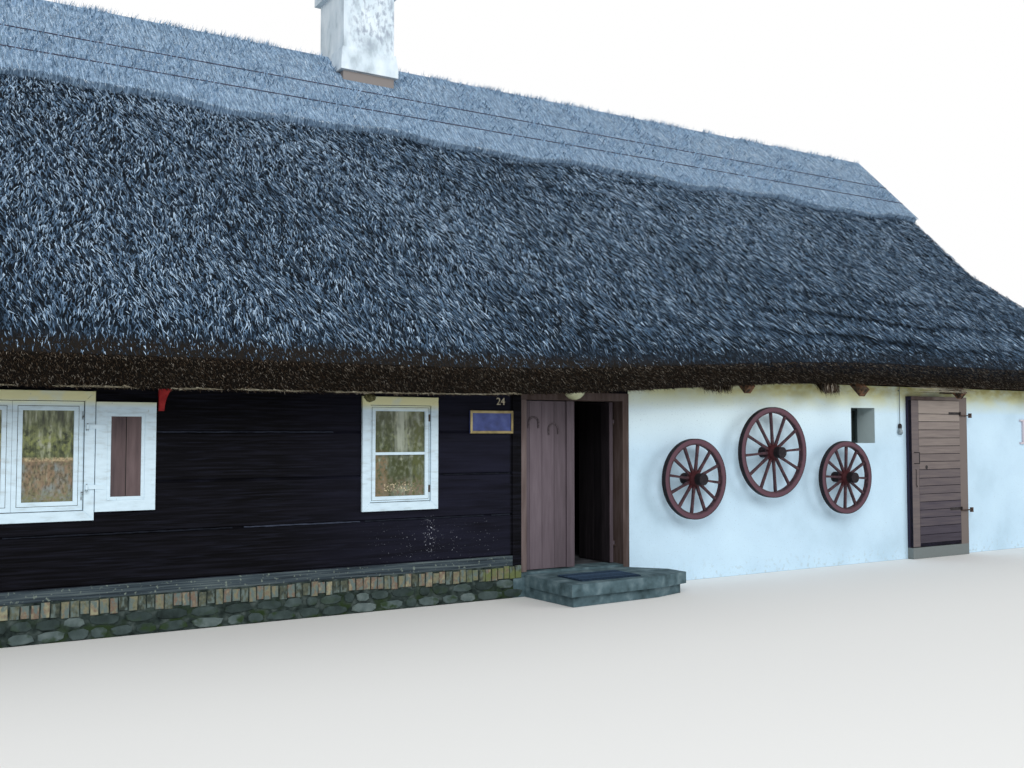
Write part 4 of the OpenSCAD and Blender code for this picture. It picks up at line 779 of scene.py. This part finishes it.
door_foot, door_head = 0.260, 2.058
shut_boards = upright(-1.764, 0.157, 0.004, 4, door_foot, door_head)
slabs("boards_left_leaf", shut_boards, plane(0, 0.0, -3.170), 0.0015,
      taupe_paint, "front_door_left")
jamb = board(-1.770, door_foot - 0.008, -1.702, door_head + 0.010)
slabs("left_jamb", [(jamb, 0.0, 0.079, 0.9)], plane(0, 0.0, -3.185), 0.004,
      brown_frame, "house")
open_boards = upright(2.526, 0.1485, 0.004, 4, door_foot, door_head)
slabs("boards_right_leaf", open_boards, plane(-90, -0.502, 0.0), 0.0015,
      dark_leaf, "front_door_right")
dress(coat("painted_horseshoes", 0.7, (60.0, 60.0, 60.0),
           [(0.3, "#2e272b"), (0.5, "#443b40"), (0.7, "#5c5257")], 0.001, gloss=0.25), "horseshoes")

# Byre door: boards nailed across the leaf in worn paint, pale at the top and dark at the foot,
# and a wide stile at the edge where it shuts. The leaf behind them is painted near black, so the
# gaps show as shade. Inside, two ledges hold bare upright boards. Its irons are forged and dull
# black.
# Painted shade: the leaf's core is near black, for the shade in the gaps and on its edge.
door_core = coat("byre_leaf_painted_shade", 0.85, (20.0, 20.0, 20.0),
                 [(0.3, "#0c0b10"), (0.7, "#1f1d2b")], 0.001, gloss=0.1)
dress(door_core, "byre_door")
byre_paint = coat("worn_byre_paint", 0.75, (2.5, 2.5, 40.0),
                  [(0.12, "#2b272e"), (0.35, "#46414a"), (0.6, "#6d6462"), (0.9, "#998f87")],
                  0.003, own=0.75, gloss=0.15)
leaf_foot, leaf_head, board_gap, board_t, least_board = 0.162, 2.157, 0.008, 0.005, 0.038
shut_x, inner_x, hung_x = 4.461, 4.610, 5.503
items = [(board(shut_x, leaf_foot, inner_x - 0.005, leaf_head), 0.0, board_t, 0.55)]
top = leaf_head
while top - leaf_foot > least_board:
    high = 0.180 if top > 2.1 else rng.uniform(0.098, 0.110)
    foot = max(top - high, leaf_foot + 0.001)
    shade = np.clip(0.14 + 0.38 * foot + rng.uniform(-0.06, 0.06), 0.0, 1.0)
    items.append((board(inner_x, foot, hung_x, top), 0.0, board_t, shade))
    top = foot - board_gap
slabs("boards_byre_door", items, plane(0, 0.0, -3.340), 0.0015, byre_paint, "byre_door")
bare_boards = coat("bare_inner_boards", 0.8, (45.0, 45.0, 2.5),
                   [(0.25, "#3b322d"), (0.5, "#5d5048"), (0.75, "#7b6c60")], 0.003, own=0.4, gloss=0.15)
ledges = [(board(-5.445, z, -4.61, z + 0.110), 0.020, 0.032, rng.random()) for z in (0.594, 1.928)]
slabs("inner_boards_byre_door", ledges + upright(-5.498, 0.1565, 0.0045, 6, 0.168, 2.145),
      plane(180, 0.0, -3.300), 0.0015, bare_boards, "byre_door")
dark_iron = coat("forged_iron", 0.6, (40.0, 40.0, 40.0),
                 [(0.35, "#1c1a1b"), (0.60, "#383435")], 0.001, metallic=0.5, gloss=0.3)
dress(dark_iron, "byre_door_iron")


def tube(name, loops, material, body):
    """Closed round piece through rings of points."""
    sides = len(loops[0])
    points = [point for loop in loops for point in loop]
    faces = []
    for i in range(len(loops) - 1):
        for j in range(sides):
            a, b = i * sides + j, i * sides + (j + 1) % sides
            faces.append((a, b, b + sides, a + sides))
    faces += [tuple(range(sides - 1, -1, -1)), tuple(range(len(points) - sides, len(points)))]
    return piece(name, points, faces, material, body)


hook = [Vector(p) for p in (
    (4.528, -3.344, 1.210), (4.528, -3.352, 1.214), (4.530, -3.357, 1.205), (4.530, -3.356, 1.10),
    (4.532, -3.354, 0.99), (4.538, -3.353, 0.972), (4.548, -3.353, 0.978), (4.550, -3.353, 0.995),
)]
turns = [j * math.pi / 4 for j in range(8)]
hook_r, loops = 0.004, []
for i, point in enumerate(hook):
    way = (hook[min(i + 1, len(hook) - 1)] - hook[max(i - 1, 0)]).normalized()
    across = way.orthogonal().normalized()
    other = way.cross(across)
    loops.append([point + hook_r * (across * math.cos(t) + other * math.sin(t)) for t in turns])
tube("door_hook", loops, dark_iron, "byre_door")

# Mat: a dark ribbed mat of coarse fibre on the step. Its ribs are 7 mm apart; every other one
# is drawn, because finer ones don't show.
ribbed_mat = coat("ribbed_mat", 0.95, (60.0, 60.0, 60.0),
                  [(0.3, "#1b2836"), (0.5, "#2a3b4e"), (0.7, "#3b4e64")], 0.004, own=0.4, gloss=0.1)
step_top, rib_step, rib_w = 0.225, 0.014, 0.008
mat_place = Matrix.Translation((0.0, 0.0, step_top)) @ Matrix.Rotation(-math.pi / 2, 4, "X")
(mat_x0, mat_y0), (mat_x1, mat_y1) = (-1.51, -3.98), (-0.75, -3.55)
ribs = [(board(mat_x0, mat_y0, mat_x1, mat_y1), 0.0, 0.011, 0.2)]
for i in range(30):
    low = mat_y0 + 0.007 + rib_step * i
    outline = board(mat_x0 + 0.01, low, mat_x1 - 0.01, low + rib_w)
    ribs.append((outline, 0.009, 0.018, rng.random()))
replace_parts(slabs("mat", ribs, mat_place, 0.002, ribbed_mat, "house"), "door_mat")

# Cart wheels: elm naves, oak spokes and ash felloes in faded red-brown paint, hung on the wall.
# The naves are redder and the felloes have bleached. The ends of the naves are painted black for
# the shade in their axle holes, and the backs of the wheels, against the wall, are darkened in
# patches as painted shade. The tyres and the bands are greasy black iron.
wheel_paint = coat("faded_wheel_paint", 0.7, (18.0, 18.0, 18.0),
                   [(0.3, "#2c2026"), (0.5, "#3f2c33"), (0.7, "#563c40")], 0.003, gloss=0.2)
tree = wheel_paint.node_tree
place = tree.nodes["Texture Coordinate"].outputs["Object"]
flat = add(tree, "VectorMath", {0: place, 1: (1.0, 0.0, 1.0)}, operation="MULTIPLY").outputs[0]
wheels = ((0.480, 1.183, 0.464), (1.738, 1.477, 0.550), (3.024, 1.145, 0.464))
nearest = 9.0  # outwards from the nearest rim, and at first farther than any wheel
for x, z, radius in wheels:
    reach = add(tree, "VectorMath", {0: flat, 1: (x, 0.0, z)}, operation="DISTANCE").outputs["Value"]
    from_rim = add(tree, "Math", {0: reach, 1: radius}, operation="SUBTRACT").outputs[0]
    nearest = add(tree, "Math", {0: from_rim, 1: nearest}, operation="MINIMUM").outputs[0]
felloe = add(tree, "MapRange", {0: nearest, 1: -0.060, 2: -0.050}).outputs[0]
cover(wheel_paint, "#593f49", felloe)


def around(middle):
    """Range of a coordinate over a nave."""
    return [(middle - 0.11, middle - 0.09), (middle + 0.11, middle + 0.09)]


for x, z, _ in wheels:
    stain(wheel_paint, "#3c181c", x=around(x), z=around(z))
# Painted shade: the outer ends of the naves are near black, for their empty axle holes.
stain(wheel_paint, "#151012", y=[(-3.505, -3.512)])
# Painted shade: the backs of the wheels, against the wall, are dark in patches.
stain(wheel_paint, "#171419", ((25.0, 25.0, 25.0), 0.3, 0.5), y=[(-3.375, -3.36)])
dress(wheel_paint, "cart_wheels")
dress(coat("greased_iron", 0.7, (50.0, 50.0, 50.0),
           [(0.3, "#0e0b0f"), (0.5, "#1a161c"), (0.7, "#2b252b")], 0.001, gloss=0.2), "wheel_irons")

# Sign: a board in blue enamel, left bare, with a mitred wooden border. Beside it hangs the
# number of the house in cut cream figures.
dress(coat("blue_enamel", 0.5, (10.0, 10.0, 10.0),
           [(0.3, "#2b3768"), (0.5, "#36447e"), (0.7, "#47568e")], 0.0005, gloss=0.3), "sign_board")
ochre_border = coat("ochre_border", 0.7, (12.0, 12.0, 12.0),
                    [(0.3, "#6f6548"), (0.5, "#97885f"), (0.7, "#b3a67e")], 0.001, own=0.3, gloss=0.2)
border = mitred(board(-2.390, 1.709, -1.876, 1.944), board(-2.364, 1.735, -1.902, 1.918), 0.022, 0.027)
border = [(outline, back, front, rng.random()) for outline, back, front, _ in border]
slabs("sign_border", border, faces_of["front"], 0.0015, ochre_border, "house")
cream_figures = coat("cream_cut_figures", 0.6, (40.0, 40.0, 40.0),
                     [(0.3, "#8f8874"), (0.5, "#b3ab94"), (0.7, "#cbc4ae")], 0.0005, gloss=0.3)
number = bpy.data.curves.new("house_number", "FONT")
number.body = "24"
number.size = 0.108
number.extrude = 0.002
figures = bpy.data.objects.new("figures", number)
bpy.context.scene.collection.objects.link(figures)
bpy.context.view_layer.update()
mesh = figures.to_mesh()
number_place = plane(0, -2.07, -3.2525)
points = [number_place @ Vector((v.co.x, -v.co.z, 2.007 + v.co.y)) for v in mesh.vertices]
faces = [tuple(p.vertices) for p in mesh.polygons]
bpy.data.objects.remove(figures)
piece("house_number", points, faces, cream_figures, "house")

# Lamps: a globe of yellowed opal glass over the front door, and on the byre wall a bulb of smoked
# glass in a dark iron holder, with its grey cable clipped to the wall.
opal = coat("opal_glass", 0.25, (7.0, 7.0, 7.0),
            [(0.3, "#a5a783"), (0.5, "#c0c39f"), (0.7, "#d8dbbd")], 0.0005)
stain(opal, "#5f6b72", ((40.0, 40.0, 40.0), 0.0, 0.1), x=[(3.0, 3.1)])
dress(opal, "lamps")
smoked_glass = coat("smoked_bulb_glass", 0.2, (30.0, 30.0, 30.0),
                    [(0.3, "#525e66"), (0.5, "#7a878e"), (0.7, "#98a4a9")], 0.0005)
bulb_x, bulb_y = 4.313, -3.270
bulb = ((0.004, -0.052), (0.020, -0.048), (0.034, -0.034), (0.039, -0.014), (0.036, 0.006),
        (0.027, 0.026), (0.021, 0.040))
holder = ((0.022, 0.0), (0.026, 0.004), (0.026, 0.040), (0.022, 0.052), (0.012, 0.066))
turns = [j * math.pi / 12 for j in range(24)]
for name, foot, profile, material, slot in (
    ("bulb", 1.735, bulb, smoked_glass, "lamp_glass"), ("bulb_holder", 1.772, holder, dark_iron, "iron"),
):
    loops = [[(bulb_x + radius * math.cos(t), bulb_y + radius * math.sin(t), foot + up) for t in turns]
             for radius, up in profile]
    tube(name, loops, material, "house")

# Corbel under the eave in a dull red oil paint, and the iron anchor that ties the byre wall,
# whitewashed with it.
red_paint = coat("red_oil_paint", 0.6, (16.0, 16.0, 16.0),
                 [(0.3, "#6c1417"), (0.5, "#961c20"), (0.7, "#a8302f")], 0.002, gloss=0.25)
stain(red_paint, "#c3bcc4", ((30.0, 30.0, 30.0), 0.0, 0.1), x=[(3.0, 3.1)])
dress(red_paint, "wall_irons")

low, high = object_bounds()
